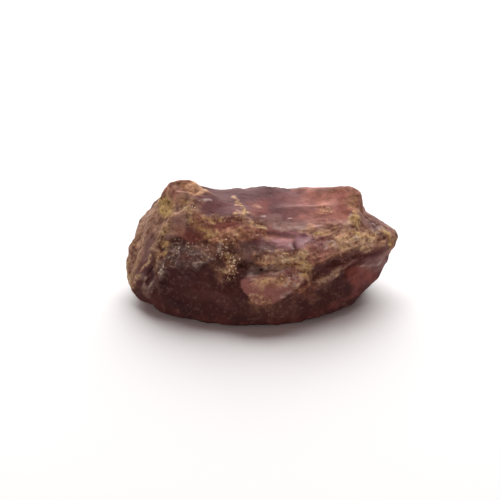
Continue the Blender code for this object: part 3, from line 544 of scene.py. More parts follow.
        "plate_middle": (0.7, 4, [(262, 279), (274, 280), (284, 276)]),
        "plate_left": (0.4, 4, [(246, 279), (252, 284)]),
        "plate_foot": (0.5, 2.5, [(250, 297), (254, 301), (264, 303)]),
        "shoulder_stripe": (0.9, 3, [(357, 198), (357, 210), (354, 222)]),
        "shoulder_foot": (0.8, 3, [(353, 214), (352, 224), (354, 232)]),
        "under_shoulder": (0.8, 4, [(316, 232), (324, 231), (334, 234)]),
        "fan": (0.7, 6, [(350, 232), (360, 236), (370, 240)]),
        "lobe_rim": (0.9, 3, [(386, 231), (391, 238), (391, 245)]),
        "lobe_streaks": (0.7, 2.5, [(368, 234), (378, 233), (386, 230)]),
        "left_edge": (0.5, 3, [(135, 242), (130, 252), (128, 262)]),
        "front_low": (0.8, 4, [(264, 266), (276, 264), (290, 264)]),
        "left_low": (0.5, 3, [(128, 272), (131, 284)]),
        "left_blob": (0.8, 2.5, [(168, 245), (166, 250), (163, 254)]),
        "belly_a": (0.10, 6, [(308, 294), (318, 298), (328, 296)]),
        "belly_b": (0.08, 6, [(258, 311), (276, 311), (292, 307)]),
        "shoulder_spots": (0.6, 4, [(321, 206), (328, 209)]),
    },
    "straw": {
        "knob_patch": (0.6, 5, [(165, 199), (169, 206)]),
        "knob_slope": (0.5, 4, [(194, 187), (206, 188)]),
        "fan": (0.9, 5, [(352, 238), (362, 239), (372, 240)]),
        "fan_foot": (0.9, 3.5, [(358, 247), (364, 249), (371, 248)]),
        "stripe": (0.9, 2, [(174, 209), (168, 217), (165, 225), (162, 232), (158, 240)]),
        "left_pale": (0.9, 2, [(151, 246), (149, 256), (144, 266), (136, 277), (131, 288)]),
        "grey_lines": (0.6, 1.5, [(161, 271), (154, 279), (146, 288)]),
        "hairs": (0.4, 2, [(174, 246), (172, 256), (168, 264)]),
        "lip": (0.7, 1.3, [(222, 241), (217, 249), (208, 257), (196, 262)]),
        "lobe_end": (0.6, 4, [(390, 238), (392, 246)]),
        "crack_line": (1.0, 2, [(247, 221), (256, 223), (266, 227)]),
        "beige_strip": (0.7, 4, [(337, 272), (328, 276), (318, 281)]),
        "plate_rim": (0.5, 1.5, [(303, 279), (298, 286), (291, 292), (282, 298)]),
        "plate_arc": (0.5, 1.5, [(300, 273), (302, 281), (297, 289)]),
        "plate_lines": (0.8, 1.5, [(250, 296), (256, 296), (262, 298)]),
        "plate_low": (0.8, 1.5, [(253, 302), (262, 303), (270, 301)]),
        "plate_specks": (0.5, 6, [(288, 278), (298, 276), (298, 286)]),
        "right_lines": (0.5, 1.5, [(342, 268), (356, 267), (372, 266)]),
        "crust": (1.0, 6, [(266, 261), (282, 259), (300, 259), (312, 258)]),
        "crust_low": (0.7, 4, [(268, 267), (284, 265), (300, 266)]),
        "fan_left": (0.8, 4, [(342, 244), (352, 243)]),
        "middle_right": (0.6, 5, [(330, 242), (336, 238), (346, 246)]),
        "shoulder_arc": (0.5, 2, [(320, 201), (324, 207), (332, 210)]),
        "belly_right": (0.2, 6, [(322, 290), (336, 290)]),
        "crumbs": (0.8, 3.5, [(221, 269), (228, 272)]),
        "left_edge": (0.4, 2.5, [(133, 242), (141, 241)]),
        "table_end": (0.5, 3, [(336, 222), (350, 222)]),
    },
    # Crumbly zones, which also carry painted sparkles: bright specks that stand in for glints.
    "crumbs_and_painted_glints": {
        "crumbs": (1.0, 7, [(224, 246), (230, 256), (233, 272)]),
        "table_line": (0.6, 4, [(216, 219), (240, 219), (262, 224)]),
        "knob_foot": (0.6, 5, [(188, 202), (190, 222)]),
        "left_spots": (0.6, 4, [(154, 250), (160, 254)]),
        "plate_specks": (0.6, 5, [(280, 275), (290, 276), (300, 274)]),
        "front_band": (0.6, 5, [(266, 260), (284, 259)]),
        "middle": (0.6, 6, [(190, 246), (206, 246), (216, 252)]),
        "hairs": (0.7, 4, [(176, 247), (172, 260)]),
        "fan": (0.3, 8, [(340, 240), (356, 238)]),
        "grey_lines": (0.6, 2, [(164, 266), (158, 274)]),
    },
    # Pale lines, painted glints (glint_a, glint_b, white_streak, violet) and painted light on shaded
    # grooves.
    "pale_lines_and_painted_light": {
        "crust": (0.4, 4, [(272, 264), (282, 262), (290, 263)]),
        "left_foot": (0.3, 3, [(140, 276), (143, 286)]),
        "groove": (0.45, 5, [(260, 271), (274, 267), (288, 265)]),
        "white_streak": (0.6, 0.8, [(199, 199), (206, 198), (212, 199)]),
        "glint_a": (0.9, 0.7, [(262, 215), (265, 215)]),
        "glint_b": (0.9, 0.6, [(289, 217), (291, 217)]),
        "plate_ring": (0.45, 1.0, [(300, 272), (303, 278), (298, 286)]),
        "plate_ring_mid": (0.45, 1.0, [(294, 273), (297, 279), (292, 286)]),
        "plate_ring_in": (0.4, 1.0, [(288, 274), (291, 280), (286, 287)]),
        "hairs": (0.4, 1.0, [(175, 246), (173, 254), (175, 262)]),
        "hair_left": (0.4, 1.0, [(179, 246), (178, 256)]),
        "lip": (0.25, 1.2, [(214, 257), (204, 261), (194, 264)]),
        "lip_low": (0.4, 1.3, [(222, 243), (218, 250)]),
        "grey_line": (0.35, 1.2, [(161, 271), (154, 279), (147, 287)]),
        "violet": (0.25, 2.5, [(300, 241), (304, 239), (309, 239)]),
        "plate_rim": (0.3, 1.2, [(303, 280), (298, 286), (291, 292), (282, 298)]),
        "right_line": (0.3, 1.1, [(362, 267), (371, 266), (381, 264)]),
        "lobe_line": (0.3, 1.2, [(374, 223), (382, 227), (388, 232)]),
        "lobe_line_low": (0.25, 1.2, [(370, 228), (378, 231), (384, 234)]),
        "fan_line": (0.5, 1.3, [(355, 236), (364, 238), (374, 243)]),
        "fan_line_low": (0.5, 1.3, [(356, 240), (364, 243), (372, 247)]),
        "pink_line": (0.4, 1.3, [(290, 243), (293, 248)]),
        "curl": (0.5, 1.3, [(326, 246), (329, 240), (333, 240), (336, 245)]),
        "left_edge": (0.4, 1.3, [(124, 262), (124, 272), (128, 284)]),
        "table_edge": (0.3, 2, [(276, 226), (290, 228), (302, 227)]),
        "stripe": (0.35, 1.2, [(174, 209), (168, 217), (165, 224)]),
        "crack": (0.5, 1.2, [(248, 221), (256, 223), (265, 227)]),
        "shoulder_rib": (0.5, 1.3, [(352, 212), (351, 222), (352, 230)]),
    },
}
# Strokes with a smaller reach than this, in frame units, wander less.
FINE_REACH = 2.6
# On the sides that the camera doesn't see, each finish lies in patches of this size, in mm, over about this
# share, at this strength.
PATCHES = {
    "brown": (2.6, 0.28), "tan": (2.3, 0.18), "rust": (2.2, 0.25), "mauve": (2.8, 0.22), "plum": (2.9, 0.42),
    "rose": (2.4, 0.25), "coral": (2.0, 0.14), "red_and_painted_glow": (2.2, 0.30), "lilac": (1.6, 0.04),
    "slate": (2.4, 0.25), "dark_and_painted_shade": (2.0, 0.25), "amber": (1.5, 0.05), "olive": (1.6, 0.08),
    "pale_lines_and_painted_light": (0.6, 0.00), "ochre": (1.7, 0.30), "straw": (1.5, 0.18), "crumbs_and_painted_glints": (1.9, 0.05),
}
PATCH_STRENGTH = 0.8
# Washes of plain colour, in the order that they are laid over each other, the grainy crusts over them, and
# the finishes that lie where the stone is broken. All of it is broken by this least share.
WASHES = ("brown", "tan", "plum", "mauve", "rose", "coral", "lilac", "slate", "red_and_painted_glow", "rust", "dark_and_painted_shade",
          "amber", "olive", "pale_lines_and_painted_light")
CRUSTS = ("ochre", "straw")
BROKEN = ("brown", "tan", "rust", "olive", "ochre", "straw", "slate", "crumbs_and_painted_glints")
LEAST_BROKEN = 0.05

# The stone's fibres: how far each bundle reaches, in mm, the way it runs, and the line along its middle.
# They are this many times as long as they are wide.
FIBRE_LENGTH = 5.0
FIBRES = {
    "table": (2.6, (1.0, 0.0, -0.05), [(-6.0, 1.4, 9.1), (0.0, 1.2, 8.2), (7.0, 1.6, 8.0)]),
    "front": (2.8, (1.0, -0.15, 0.15), [(-7.0, -3.8, 4.0), (0.0, -4.8, 3.6), (4.0, -4.2, 3.2)]),
    "middle": (1.8, (0.8, -0.3, -0.5), [(-6.0, -1.5, 7.2), (-3.0, -2.2, 6.6)]),
    "left": (2.4, (0.30, 0.30, 0.90), [(-8.5, 0.5, 8.0), (-9.8, -0.5, 5.5), (-10.4, -1.8, 2.5)]),
    "right": (2.4, (0.85, 0.40, 0.30), [(5.2, -3.2, 4.6), (8.0, -1.8, 5.2), (11.0, 0.2, 5.4)]),
    "shoulder": (1.2, (0.10, 0.30, 1.00), [(8.7, 2.0, 8.8), (8.4, 0.0, 7.5)]),
    "back": (6.0, (1.0, 0.1, 0.2), [(-8.0, 5.0, 4.0), (8.0, 5.0, 4.0)]),
}


def ball(cells):
    """A unit ball's points and its faces of four: a cube's six sides in square cells, evened out by the
    tangent and drawn in to the ball, with the points along the cube's edges joined."""
    across = np.tan(np.linspace(-np.pi / 4, np.pi / 4, cells + 1))
    one, two = np.meshgrid(across, across, indexing="ij")
    number = np.arange((cells + 1) ** 2).reshape(cells + 1, cells + 1)
    corners = (number[:-1, :-1], number[1:, :-1], number[1:, 1:], number[:-1, 1:])
    cell = np.stack(corners, axis=-1).reshape(-1, 4)
    points, quads = [], []
    for axis, side in itertools.product(range(3), (1, -1)):
        square = np.stack((np.full(one.size, float(side)), one.ravel(), two.ravel()), axis=1)
        points.append(np.roll(square, axis, axis=1))
        quads.append((cell if side == 1 else cell[:, ::-1]) + len(quads) * number.size)
    points = np.concatenate(points)
    points /= np.linalg.norm(points, axis=1, keepdims=True)
    joined, place = np.unique(np.round(points, JOINED_DIGITS), axis=0, return_inverse=True)
    return joined, place.reshape(-1)[np.concatenate(quads)]


def ball_directions(points):
    """Each point's place on the unit ball. It lies on one of the nested ellipsoids that have CORE + r as
    their half sides, and halving finds the r at which the sum of its squared shares of them is one."""
    low = np.full(len(points), NEAREST)
    high = np.full(len(points), FARTHEST)
    for _ in range(HALVINGS):
        middle = (low + high) / 2
        outside = ((points / (CORE + middle[:, None])) ** 2).sum(axis=1) > 1.0
        low = np.where(outside, middle, low)
        high = np.where(outside, high, middle)
    return points / (CORE + high[:, None])


def cage():
    """The ridge points, their directions, and the triangles that join them: those of the hull of their
    places on the unit ball."""
    points = np.array([p for line in RIDGES.values() for p in line]) - CENTRE
    directions = ball_directions(points)
    hull = bmesh.new()
    for direction in directions:
        hull.verts.new(direction)
    bmesh.ops.convex_hull(hull, input=hull.verts[:])
    hull.verts.index_update()
    triangles = np.array([[v.index for v in face.verts] for face in hull.faces])
    hull.free()
    return points, directions, triangles


def on_cage(rays, points, directions, triangles):
    """Where each ball point lands on the cage. It goes through the one triangle of ridge directions in
    which it has no negative share, and its shares of the corners place it on the flat triangle."""
    shares_of = np.linalg.inv(directions[triangles].transpose(0, 2, 1))
    landed = np.empty_like(rays)
    for start in range(0, len(rays), BATCH):
        part = slice(start, start + BATCH)
        shares = np.einsum("tij,nj->nti", shares_of, rays[part])
        crossed = shares.min(axis=2).argmax(axis=1)
        weights = shares[np.arange(len(crossed)), crossed]
        weights /= weights.sum(axis=1, keepdims=True)
        landed[part] = np.einsum("ni,nij->nj", weights, points[triangles[crossed]])
    return landed


def sums(places, vectors, count):
    """The sum of the vectors that belong to each of this many places."""
    return np.stack([np.bincount(places, vectors[:, axis], count) for axis in range(3)], axis=1)


def softened(places, quads, rounds):
    """Each point moved half way to the mean of its neighbours, round by round: knife edges turn worn."""
    here = quads.ravel()
    beside = np.roll(quads, -1, axis=1).ravel()
    neighbours = np.bincount(here, minlength=len(places))[:, None]
    for _ in range(rounds):
        places = (places + sums(here, places[beside], len(places)) / neighbours) / 2
    return places


def outward(places, quads):
    """Unit normals of the skin: the cross products of its faces' diagonals, summed at their corners."""
    corners = places[quads]
    crosses = np.cross(corners[:, 2] - corners[:, 0], corners[:, 3] - corners[:, 1])
    normals = sums(quads.ravel(), np.repeat(crosses, 4, axis=0), len(places))
    return normals / np.linalg.norm(normals, axis=1, keepdims=True)


def hashed(cells, seed):
    """A fixed number from 0 to 1 for each cell: its whole numbers and the seed, multiplied and mixed."""
    whole = cells.astype(np.int64).astype(np.uint32)
    mixed = np.uint32(seed * SEED_FACTOR % 2 ** 32)
    for axis, factor in enumerate(CELL_FACTORS):
        mixed = mixed ^ whole[..., axis] * np.uint32(factor)
    for shift, factor in MIXES:
        mixed = (mixed ^ mixed >> np.uint32(shift)) * np.uint32(factor)
    return (mixed ^ mixed >> np.uint32(LAST_SHIFT)) / 2.0 ** 32


def hashed_vectors(cells, seed):
    """Three fixed numbers from 0 to 1 for each cell."""
    return np.stack([hashed(cells, seed + axis) for axis in range(3)], axis=1)


def noise(points, size, seed):
    """Smooth noise from -1 to 1: numbers hashed at the corners of cubes of this size, faded between."""
    scaled = points / size
    corner = np.floor(scaled)
    part = scaled - corner
    fade = part * part * part * (part * (part * 6 - 15) + 10)
    total = np.zeros(len(points))
    for step in itertools.product((0, 1), repeat=3):
        share = np.where(step, fade, 1 - fade).prod(axis=1)
        total += share * hashed(corner + step, seed)
    return total * 2 - 1


def noise_vectors(points, size, seed):
    """Three numbers of smooth noise at each point."""
    return np.stack([noise(points, size, seed + axis) for axis in range(3)], axis=1)


def cells_around(points, size, seed):
    """The 27 cells of about this size around each point. Each has its own middle and a plane through it
    that is tilted its own way: gives the cells, the squared distances from their middles and the heights of
    their planes at the points, with a cell's side as the unit."""
    scaled = points / size
    base = np.floor(scaled)
    for step in itertools.product((-1, 0, 1), repeat=3):
        cell = base + step
        offset = scaled - (cell + hashed_vectors(cell, seed))
        slope = hashed_vectors(cell, seed + 3) - 0.5
        yield cell, (offset ** 2).sum(axis=1), (offset * slope).sum(axis=1)


def chips(points, size, tilt, hollow, seed):
    """Broken chips, in mm: each cell of about this size holds one shallow bowl, tilted its own way, and the
    lowest of the bowls around a point counts, so that they meet along crisp edges."""
    lowest = np.full(len(points), np.inf)
    for _, square, plane in cells_around(points, size, seed):
        lowest = np.minimum(lowest, 2 * tilt * plane + hollow * square)
    return lowest * size


def facets(points, size, tilt, step, crisp, seed):
    """Flat broken faces, in mm: each cell of about this size has a plane lifted and tilted its own way, and
    the planes around a point are mixed by weights that fall off with the square of its distance."""
    heights = np.zeros(len(points))
    weights = np.zeros(len(points))
    for cell, square, plane in cells_around(points, size, seed):
        weight = np.exp(-crisp * square)
        heights += weight * (2 * tilt * plane + step * (hashed(cell, seed + 6) - 0.5))
        weights += weight
    return heights / weights * size


def off_line(points, line):
    """How far each point is from a line of several stretches, and its offset from the nearest foot."""
    line = np.array(line)
    nearest = np.full(len(points), np.inf)
    offsets = np.zeros_like(points)
    for start, end in zip(line[:-1], line[1:]):
        stretch = end - start
        along = np.clip((points - start) @ stretch / (stretch @ stretch), 0, 1)
        offset = points - start - along[:, None] * stretch
        far = np.linalg.norm(offset, axis=1)
        offsets = np.where((far < nearest)[:, None], offset, offsets)
        nearest = np.minimum(nearest, far)
    return nearest, offsets


def faded(value):
    """From 0 to 1 along a smooth step."""
    part = np.clip(value, 0, 1)
    return part * part * (3 - 2 * part)


def carving(points, half_width, edge, facing, line, wander):
    """From 1 on the line to 0 past its edges: the edge is crisp where it faces the given way, and fades out
    over the half width on the other side."""
    far, offsets = off_line(points, line)
    turned = offsets @ np.array(facing) / np.linalg.norm(facing) / np.maximum(far, 1e-6)
    width = half_width + (edge - half_width) * faded(0.5 + turned)
    return faded((half_width - far + wander) / width)


def relief(points):
    """How far the carved stone stands out from its soft skin at each point, in mm: broken faces and chips,
    all fainter on the worn table, the steps of its layers, and the carvings. Noise bends them all."""
    bend = noise_vectors(points, size=2.6, seed=40) + noise_vectors(points, size=0.9, seed=50) * 0.4
    bent = points + BEND * bend
    table = faded((TABLE_REACH - off_line(points, TABLE_LINE)[0]) / TABLE_EDGE + 0.3 * bend[:, 0])
    rough = 1 - TABLE_WEAR * table
    faces = facets(bent, size=3.4, tilt=0.10, step=0.05, crisp=14, seed=1)
    large_chips = chips(bent, size=2.7, tilt=0.09, hollow=0.11, seed=11)
    small_chips = chips(bent, size=1.25, tilt=0.08, hollow=0.11, seed=21)
    total = rough * (faces + large_chips - 0.03) + rough * (small_chips - 0.02)
    for reach, step, height, across, line in LAYERS.values():
        layer = ((bent @ np.array(across)) / step / np.linalg.norm(across)) % 1.0
        zone = faded((reach - off_line(points, line)[0]) / (0.5 * reach)) * faded(0.5 + bend[:, 1])
        total += zone * height * (np.minimum(layer / LAYER_RISE, (1 - layer) / LAYER_FALL) - 0.5)
    wander = 0.20 * noise(points, size=0.9, seed=60) + 0.10 * noise(points, size=0.4, seed=61)
    for half_width, edge, height, facing, line in CARVINGS.values():
        total += height * carving(points, half_width, edge, facing, line, wander)
    return total


def stone_skin():
    """The stone's points in mm and its faces of four: the ball's points on the cage, softened and carved,
    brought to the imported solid's length and over its middle."""
    rays, quads = ball(CELLS)
    places = softened(on_cage(rays, *cage()), quads, SOFTENING_ROUNDS) + CENTRE
    places += outward(places, quads) * relief(places)[:, None]
    low, high = places.min(axis=0), places.max(axis=0)
    box_low, box_high = STONE_BOX[0] / MM, STONE_BOX[1] / MM
    places -= ((low[0] + high[0]) / 2, (low[1] + high[1]) / 2, 0.0)
    places *= (box_high[0] - box_low[0]) / (high[0] - low[0])
    return places + ((box_low[0] + box_high[0]) / 2, (box_low[1] + box_high[1]) / 2, 0.0), quads


class View:
    """Where the camera stands and what it sees: a square frame of FRAME_SIDE units, across and down."""

    def __init__(self, settings):
        slope = settings.elevation
        self.target = np.array(settings.target) / MM
        self.back = np.array((0.0, -np.cos(slope), np.sin(slope)))
        self.up = np.array((0.0, np.sin(slope), np.cos(slope)))
        self.eye = self.target + self.back * settings.distance / MM
        self.zoom = FRAME_SIDE * settings.lens / SENSOR

    def seen(self, places):
        """Each point's place in the frame, its offsets over its depth times the zoom, and its depth."""
        offset = places - self.eye
        depth = -offset @ self.back
        across = FRAME_SIDE / 2 + self.zoom * offset[:, 0] / depth
        down = FRAME_SIDE / 2 - self.zoom * (offset @ self.up) / depth
        return across, down, depth


def cast(line, places, seen, facing):
    """The points of the skin that lie under a line drawn in the frame: for each of its points, the nearest
    to the camera of those that face it within FRAME_REACH, or else the one that shows closest to it."""
    across, down, depth = seen
    found = []
    for spot_across, spot_down in line:
        far = np.hypot(across - spot_across, down - spot_down) + np.where(facing > 0, 0.0, FRAME_SIDE)
        under = np.where(far < FRAME_REACH, depth, np.inf)
        pick = under.argmin() if np.isfinite(under.min()) else far.argmin()
        found.append(places[pick])
    return found


def inside(spots, outline):
    """How far each spot is inside an outline in the frame, or minus how far outside: the distance to the
    nearest side. A spot is inside where a line from it to the right crosses an odd number of sides."""
    closed = np.array([*outline, outline[0]], float)
    within = np.zeros(len(spots), bool)
    for start, end in zip(closed[:-1], closed[1:]):
        side = end - start
        spans = (start[1] > spots[:, 1]) != (end[1] > spots[:, 1])
        crossing = start[0] + (spots[:, 1] - start[1]) * side[0] / (side[1] or 1.0)
        within ^= spans & (spots[:, 0] < crossing)
    nearest, _ = off_line(spots, closed)
    return np.where(within, nearest, -nearest)


def warp(places, size, depth, seed):
    """The places moved about by noise in lumps of this size, up to this far each way."""
    return places + depth * noise_vectors(places, size, seed)


def finish_weights(places, normals, view):
    """How strongly each finish shows at each point, from 0 to 1. A facet has its strength inside its
    outline, a stroke on its line and half of it at its reach, and both waver, fine strokes less. Those of
    one finish add up as veils do. On the far side, which the camera doesn't see, each finish lies in
    patches of noise. The far side and how broken the stone is are weights too."""
    seen = view.seen(places)
    facing = normals @ view.back
    # The far side fades in just past where the skin turns away from the camera.
    far_side = faded((-0.05 - facing) / 0.20)
    shaken = warp(warp(places, size=0.9, depth=0.16, seed=64), size=0.35, depth=0.10, seed=67)
    spots = np.stack(view.seen(shaken)[:2], axis=1)
    warped = warp(warp(places, size=1.2, depth=0.40, seed=70), size=0.45, depth=0.22, seed=75)
    waver = 0.35 * noise(places, size=0.7, seed=78) + 0.20 * noise(places, size=0.3, seed=79)
    weights = {}
    for number, (finish, strokes) in enumerate(FINISHES.items()):
        bare = np.ones(len(places))
        for strength, edge, outline in FACETS.get(finish, {}).values():
            bare *= 1 - strength * faded(0.5 + inside(spots, outline) / edge + 0.4 * waver)
        for strength, reach, line in strokes.values():
            moved = shaken if reach < FINE_REACH else warped
            far, _ = off_line(moved, cast(line, moved, seen, facing))
            bare *= 1 - strength * faded(1.0 - 0.5 * far * FRAME_PER_MM / reach + waver)
        size, share = PATCHES[finish]
        patch = faded(noise(warped, size, seed=80 + number) * 2.0 + 2.2 * (share - 0.5) + waver)
        weights[finish] = (1 - bare) * (1 - far_side) + PATCH_STRENGTH * patch * far_side
    weights["far_side"] = far_side
    weights["broken"] = np.clip(LEAST_BROKEN + sum(weights[name] for name in BROKEN), 0, 1)
    return weights


def fibres(places, size, seed):
    """Streaks from -1 to 1: noise in lumps of this size, drawn out along the way of the bundle of fibres
    around each point. Where bundles meet, their shares fall off with the square of the distance."""
    total = np.zeros(len(places))
    power = np.full(len(places), 1e-12)
    for number, (reach, way, line) in enumerate(FIBRES.values()):
        share = np.exp(-(off_line(places, line)[0] / reach) ** 2)
        way = np.array(way) / np.linalg.norm(way)
        drawn = places - (1 - 1 / FIBRE_LENGTH) * (places @ way)[:, None] * way
        total += share * noise(drawn, size, seed + number)
        power += share ** 2
    return total / np.sqrt(power)


def worn(places, rounded, normals, weights):
    """The places, moved to the rounded ones where the faces on top are unbroken and worn."""
    on_top = faded((normals[:, 2] - 0.2) / 0.3)
    unbroken = weights["plum"] + weights["rose"] + weights["coral"] - weights["broken"]
    share = on_top * np.clip(unbroken, 0, 1)
    return places + share[:, None] * (rounded - places)


def fine_relief(places, weights):
    """How far the surface's grain stands out, in mm: chips and crumbs where it is broken and stained, and
    fine ridges along the fibres and fine grain all over."""
    broken = weights["broken"]
    crust = np.clip(weights["ochre"] + weights["straw"], 0, 1)
    bent = warp(places, size=0.5, depth=0.15, seed=100)
    large_crags = chips(bent, size=0.80, tilt=0.14, hollow=0.18, seed=110)
    small_crags = chips(bent, size=0.42, tilt=0.28, hollow=0.36, seed=120)
    crumbs = noise(places, size=0.36, seed=90) + 0.6 * noise(places, size=0.20, seed=91)
    grain = noise(places, size=0.30, seed=93) + 0.7 * noise(places, size=0.18, seed=94)
    ridges = weights["fibre"] * 2 - 1
    height = 0.45 * broken * (large_crags + small_crags) + 0.02 * crust * crumbs
    height += (0.004 + 0.018 * broken) * ridges
    height += (0.006 + 0.008 * broken) * grain
    return height


def hollows(places, quads, rounds, depth):
    """How hollow the skin is at each point, from -1 to 1: how far softening lifts it, over this depth."""
    lift = (softened(places, quads, rounds) - places) * outward(places, quads)
    return np.clip(lift.sum(axis=1) / depth, -1, 1)


class Shade:
    """A socket of a material's node tree. Signs between shades and numbers add Math nodes."""

    def __init__(self, tree, socket=None):
        self.tree = tree
        self.socket = socket

    def node(self, kind, settings, sockets, output=0):
        """A node of this type, with its settings and its sockets' values or the shades linked to them."""
        node = self.tree.nodes.new(kind)
        for name, value in settings.items():
            setattr(node, name, value)
        for key, value in sockets.items():
            if isinstance(value, Shade):
                self.tree.links.new(value.socket, node.inputs[key])
            else:
                node.inputs[key].default_value = value
        return Shade(self.tree, node.outputs[output]) if node.outputs else None

    def maths(self, operation, *values, clamp=False):
        """A Math node on these values."""
        settings = {"operation": operation, "use_clamp": clamp}
        return self.node("ShaderNodeMath", settings, dict(enumerate(values)))

    def __add__(self, other):
        return self.maths("ADD", self, other)

    def __sub__(self, other):
        return self.maths("SUBTRACT", self, other)

    def __rsub__(self, other):
        return self.maths("SUBTRACT", other, self)

    def __mul__(self, other):
        return self.maths("MULTIPLY", self, other)

    __radd__ = __add__
    __rmul__ = __mul__

    def clamped(self):
        """This, kept from 0 to 1."""
        return self.maths("ADD", self, 0.0, clamp=True)

    def either(self, other):
        """The larger of the two."""
        return self.maths("MAXIMUM", self, other)

    def step(self, low, high):
        """A smooth step from 0 where this is at low to 1 where it is at high."""
        return self.node("ShaderNodeMapRange", {"interpolation_type": "SMOOTHSTEP"},
                         {"Value": self, "From Min": low, "From Max": high})

    def over(self, under, colour):
        """The colour laid over the one under it, by this much. A Mix node's colours are its sockets 6 and 7,
        and the mixed one is its output 2."""
        return self.node("ShaderNodeMix", {"data_type": "RGBA"}, {0: self, 6: under, 7: colour}, output=2)

    def scaled(self, factor):
        """This colour or vector times a factor."""
        return self.node("ShaderNodeVectorMath", {"operation": "SCALE"}, {0: self, "Scale": factor})


class Surface(Shade):
    """A new material with an empty tree for its shades."""

    def __init__(self, name):
        self.material = bpy.data.materials.new(name)
        self.material.use_nodes = True
        super().__init__(self.material.node_tree)
        self.tree.nodes.clear()

    def finished(self, sockets):
        """The material, once its shader's sockets have these values and shades."""
        shader = self.node("ShaderNodeBsdfPrincipled", {}, sockets)
        self.node("ShaderNodeOutputMaterial", {}, {"Surface": shader})
        return self.material


class Stone(Surface):
    """The stone's material, with the patterns that lie on it: noise in lumps of several sizes, in mm, and
    the weights that its skin carries."""

    def __init__(self, name):
        super().__init__(name)
        self.place = self.node("ShaderNodeTexCoord", {}, {}, "Object").scaled(1 / MM)
        self.cloud = self.noise(2.4)
        self.mottle = self.noise(0.85, detail=3.0)
        self.blotch = self.noise(0.42)
        self.grain = self.noise(0.24)
        self.fleck = self.noise(0.17, detail=0.0)
        self.fibre = self.weight("fibre")
        self.broken = self.weight("broken")
        self.weights = {name: self.weight(name) for name in FINISHES}
        self.pattern = self.mottle * (0.75 - self.broken * 0.40) + self.fibre * (0.25 + self.broken * 0.40)

    def noise(self, size, detail=2.0):
        """Noise in lumps of this size, in mm, spread so that it goes from 0 to 1."""
        lumps = self.node("ShaderNodeTexNoise", {}, {
            "Vector": self.place, "Scale": 1 / size, "Detail": detail, "Roughness": 0.6})
        return (lumps * 2.2 - 0.6).clamped()

    def weight(self, name):
        """The number of this name on the points of the skin."""
        return self.node("ShaderNodeAttribute", {"attribute_name": name}, {}, "Fac")


def washed(stone, colours):
    """Dark red in clouds with light worn spots, the washes over it, and more red where it is broken."""
    colour = stone.cloud.over(colours["body_dark"], colours["body_red"])
    worn_spots = (stone.grain * 0.3 + stone.blotch * 0.7).step(0.50, 0.90) * 0.6
    colour = worn_spots.over(colour, colours["body_light"])
    # Besides stains, the washes lay painted shade, a painted red glow and painted light.
    for name in WASHES:
        wash = (stone.weights[name] * (0.74 + 0.52 * stone.pattern)).clamped()
        colour = wash.over(colour, colours[name])
    breaks = (1 - stone.pattern).step(0.45, 0.95) * stone.broken * 0.55
    colour = breaks.over(colour, colours["red_and_painted_glow"])
    return colour.scaled(0.94 + (stone.pattern - 0.5) * (0.24 + stone.broken * 0.50))


def crusted(stone, colour, colours):
    """Crusts of lighter and darker grains over the colour, where a crust's weight and the noise add up, and
    how much of a crust there is."""
    thickness = 0.0
    shine = stone.grain * 0.5 + stone.pattern * 0.5
    for name in CRUSTS:
        cover = stone.weights[name] * 1.05 + stone.fibre * 0.4 + stone.blotch * 0.6 + stone.grain * 0.2 - 1.1
        cover = cover.step(0.0, 0.6)
        grains = shine.over(colours[name + "_dark"], colours[name + "_light"])
        colour = (cover * 0.85).over(colour, grains)
        thickness = cover.either(thickness)
    return colour, thickness


def speckled(stone, colour, colours):
    """Pale grit, golden grains, painted shade in the gaps and hollows, dark spots, and painted sparkles."""
    # Pale grit: light grains, partly painted glints of tiny facets.
    grit = stone.grain.step(0.60, 0.90) * (0.02 + stone.broken * 0.35)
    rich = stone.weights["ochre"] + stone.weights["straw"] * 0.6 + stone.weights["crumbs_and_painted_glints"] * 0.6
    gold = stone.fleck.step(0.60, 0.82) * stone.mottle.step(0.30, 0.60) * rich.clamped() * 0.80
    # Painted shade: darker in the gaps between grains and in the hollows; pits are dark spots where broken.
    gaps = (1 - stone.grain.step(0.10, 0.45)) * (0.10 + stone.broken * 0.40)
    pits = (1 - stone.blotch.step(0.00, 0.40)) * stone.broken * 0.35
    hollow = (stone.weight("hollow") * 1.2 - 0.3 + stone.grain * 0.3).step(0.0, 0.7) * 0.3
    # Painted sparkles: bright specks that stand in for glints of tiny facets.
    painted_glitter = (stone.fleck * 0.8 + stone.weights["crumbs_and_painted_glints"] * 0.28 - 0.86).step(0.0, 0.12) * 0.8
    for share, name in ((grit, "pale"), (gold, "gold"), (gaps, "dark_and_painted_shade"), (pits, "dark_and_painted_shade"), (hollow, "dark_and_painted_shade"),
                        (painted_glitter, "painted_glitter")):
        colour = share.over(colour, colours[name])
    return colour


def garnet_material(colours):
    """Stained, broken stone: its colour is darker on the far side, grains and crusts are rough and stand
    out, and a little light passes through."""
    stone = Stone(SLOT)
    colour, crust = crusted(stone, washed(stone, colours), colours)
    colour = speckled(stone, colour, colours).scaled(1 - stone.weight("far_side") * 0.5)
    rough = 0.50 + crust * 0.30 + (stone.grain - 0.5) * 0.2
    height = stone.blotch * 0.5 + stone.grain * 0.5 + crust * 0.3
    bump = stone.node("ShaderNodeBump", {}, {
        "Strength": 0.5, "Distance": 0.05 * MM, "Height": height}, "Normal")
    return stone.finished({
        "Base Color": colour, "Roughness": rough.clamped(), "Normal": bump, "Specular IOR Level": 0.08,
        "Subsurface Weight": 0.10, "Subsurface Radius": (1.0, 0.25, 0.2), "Subsurface Scale": 0.5 * MM})


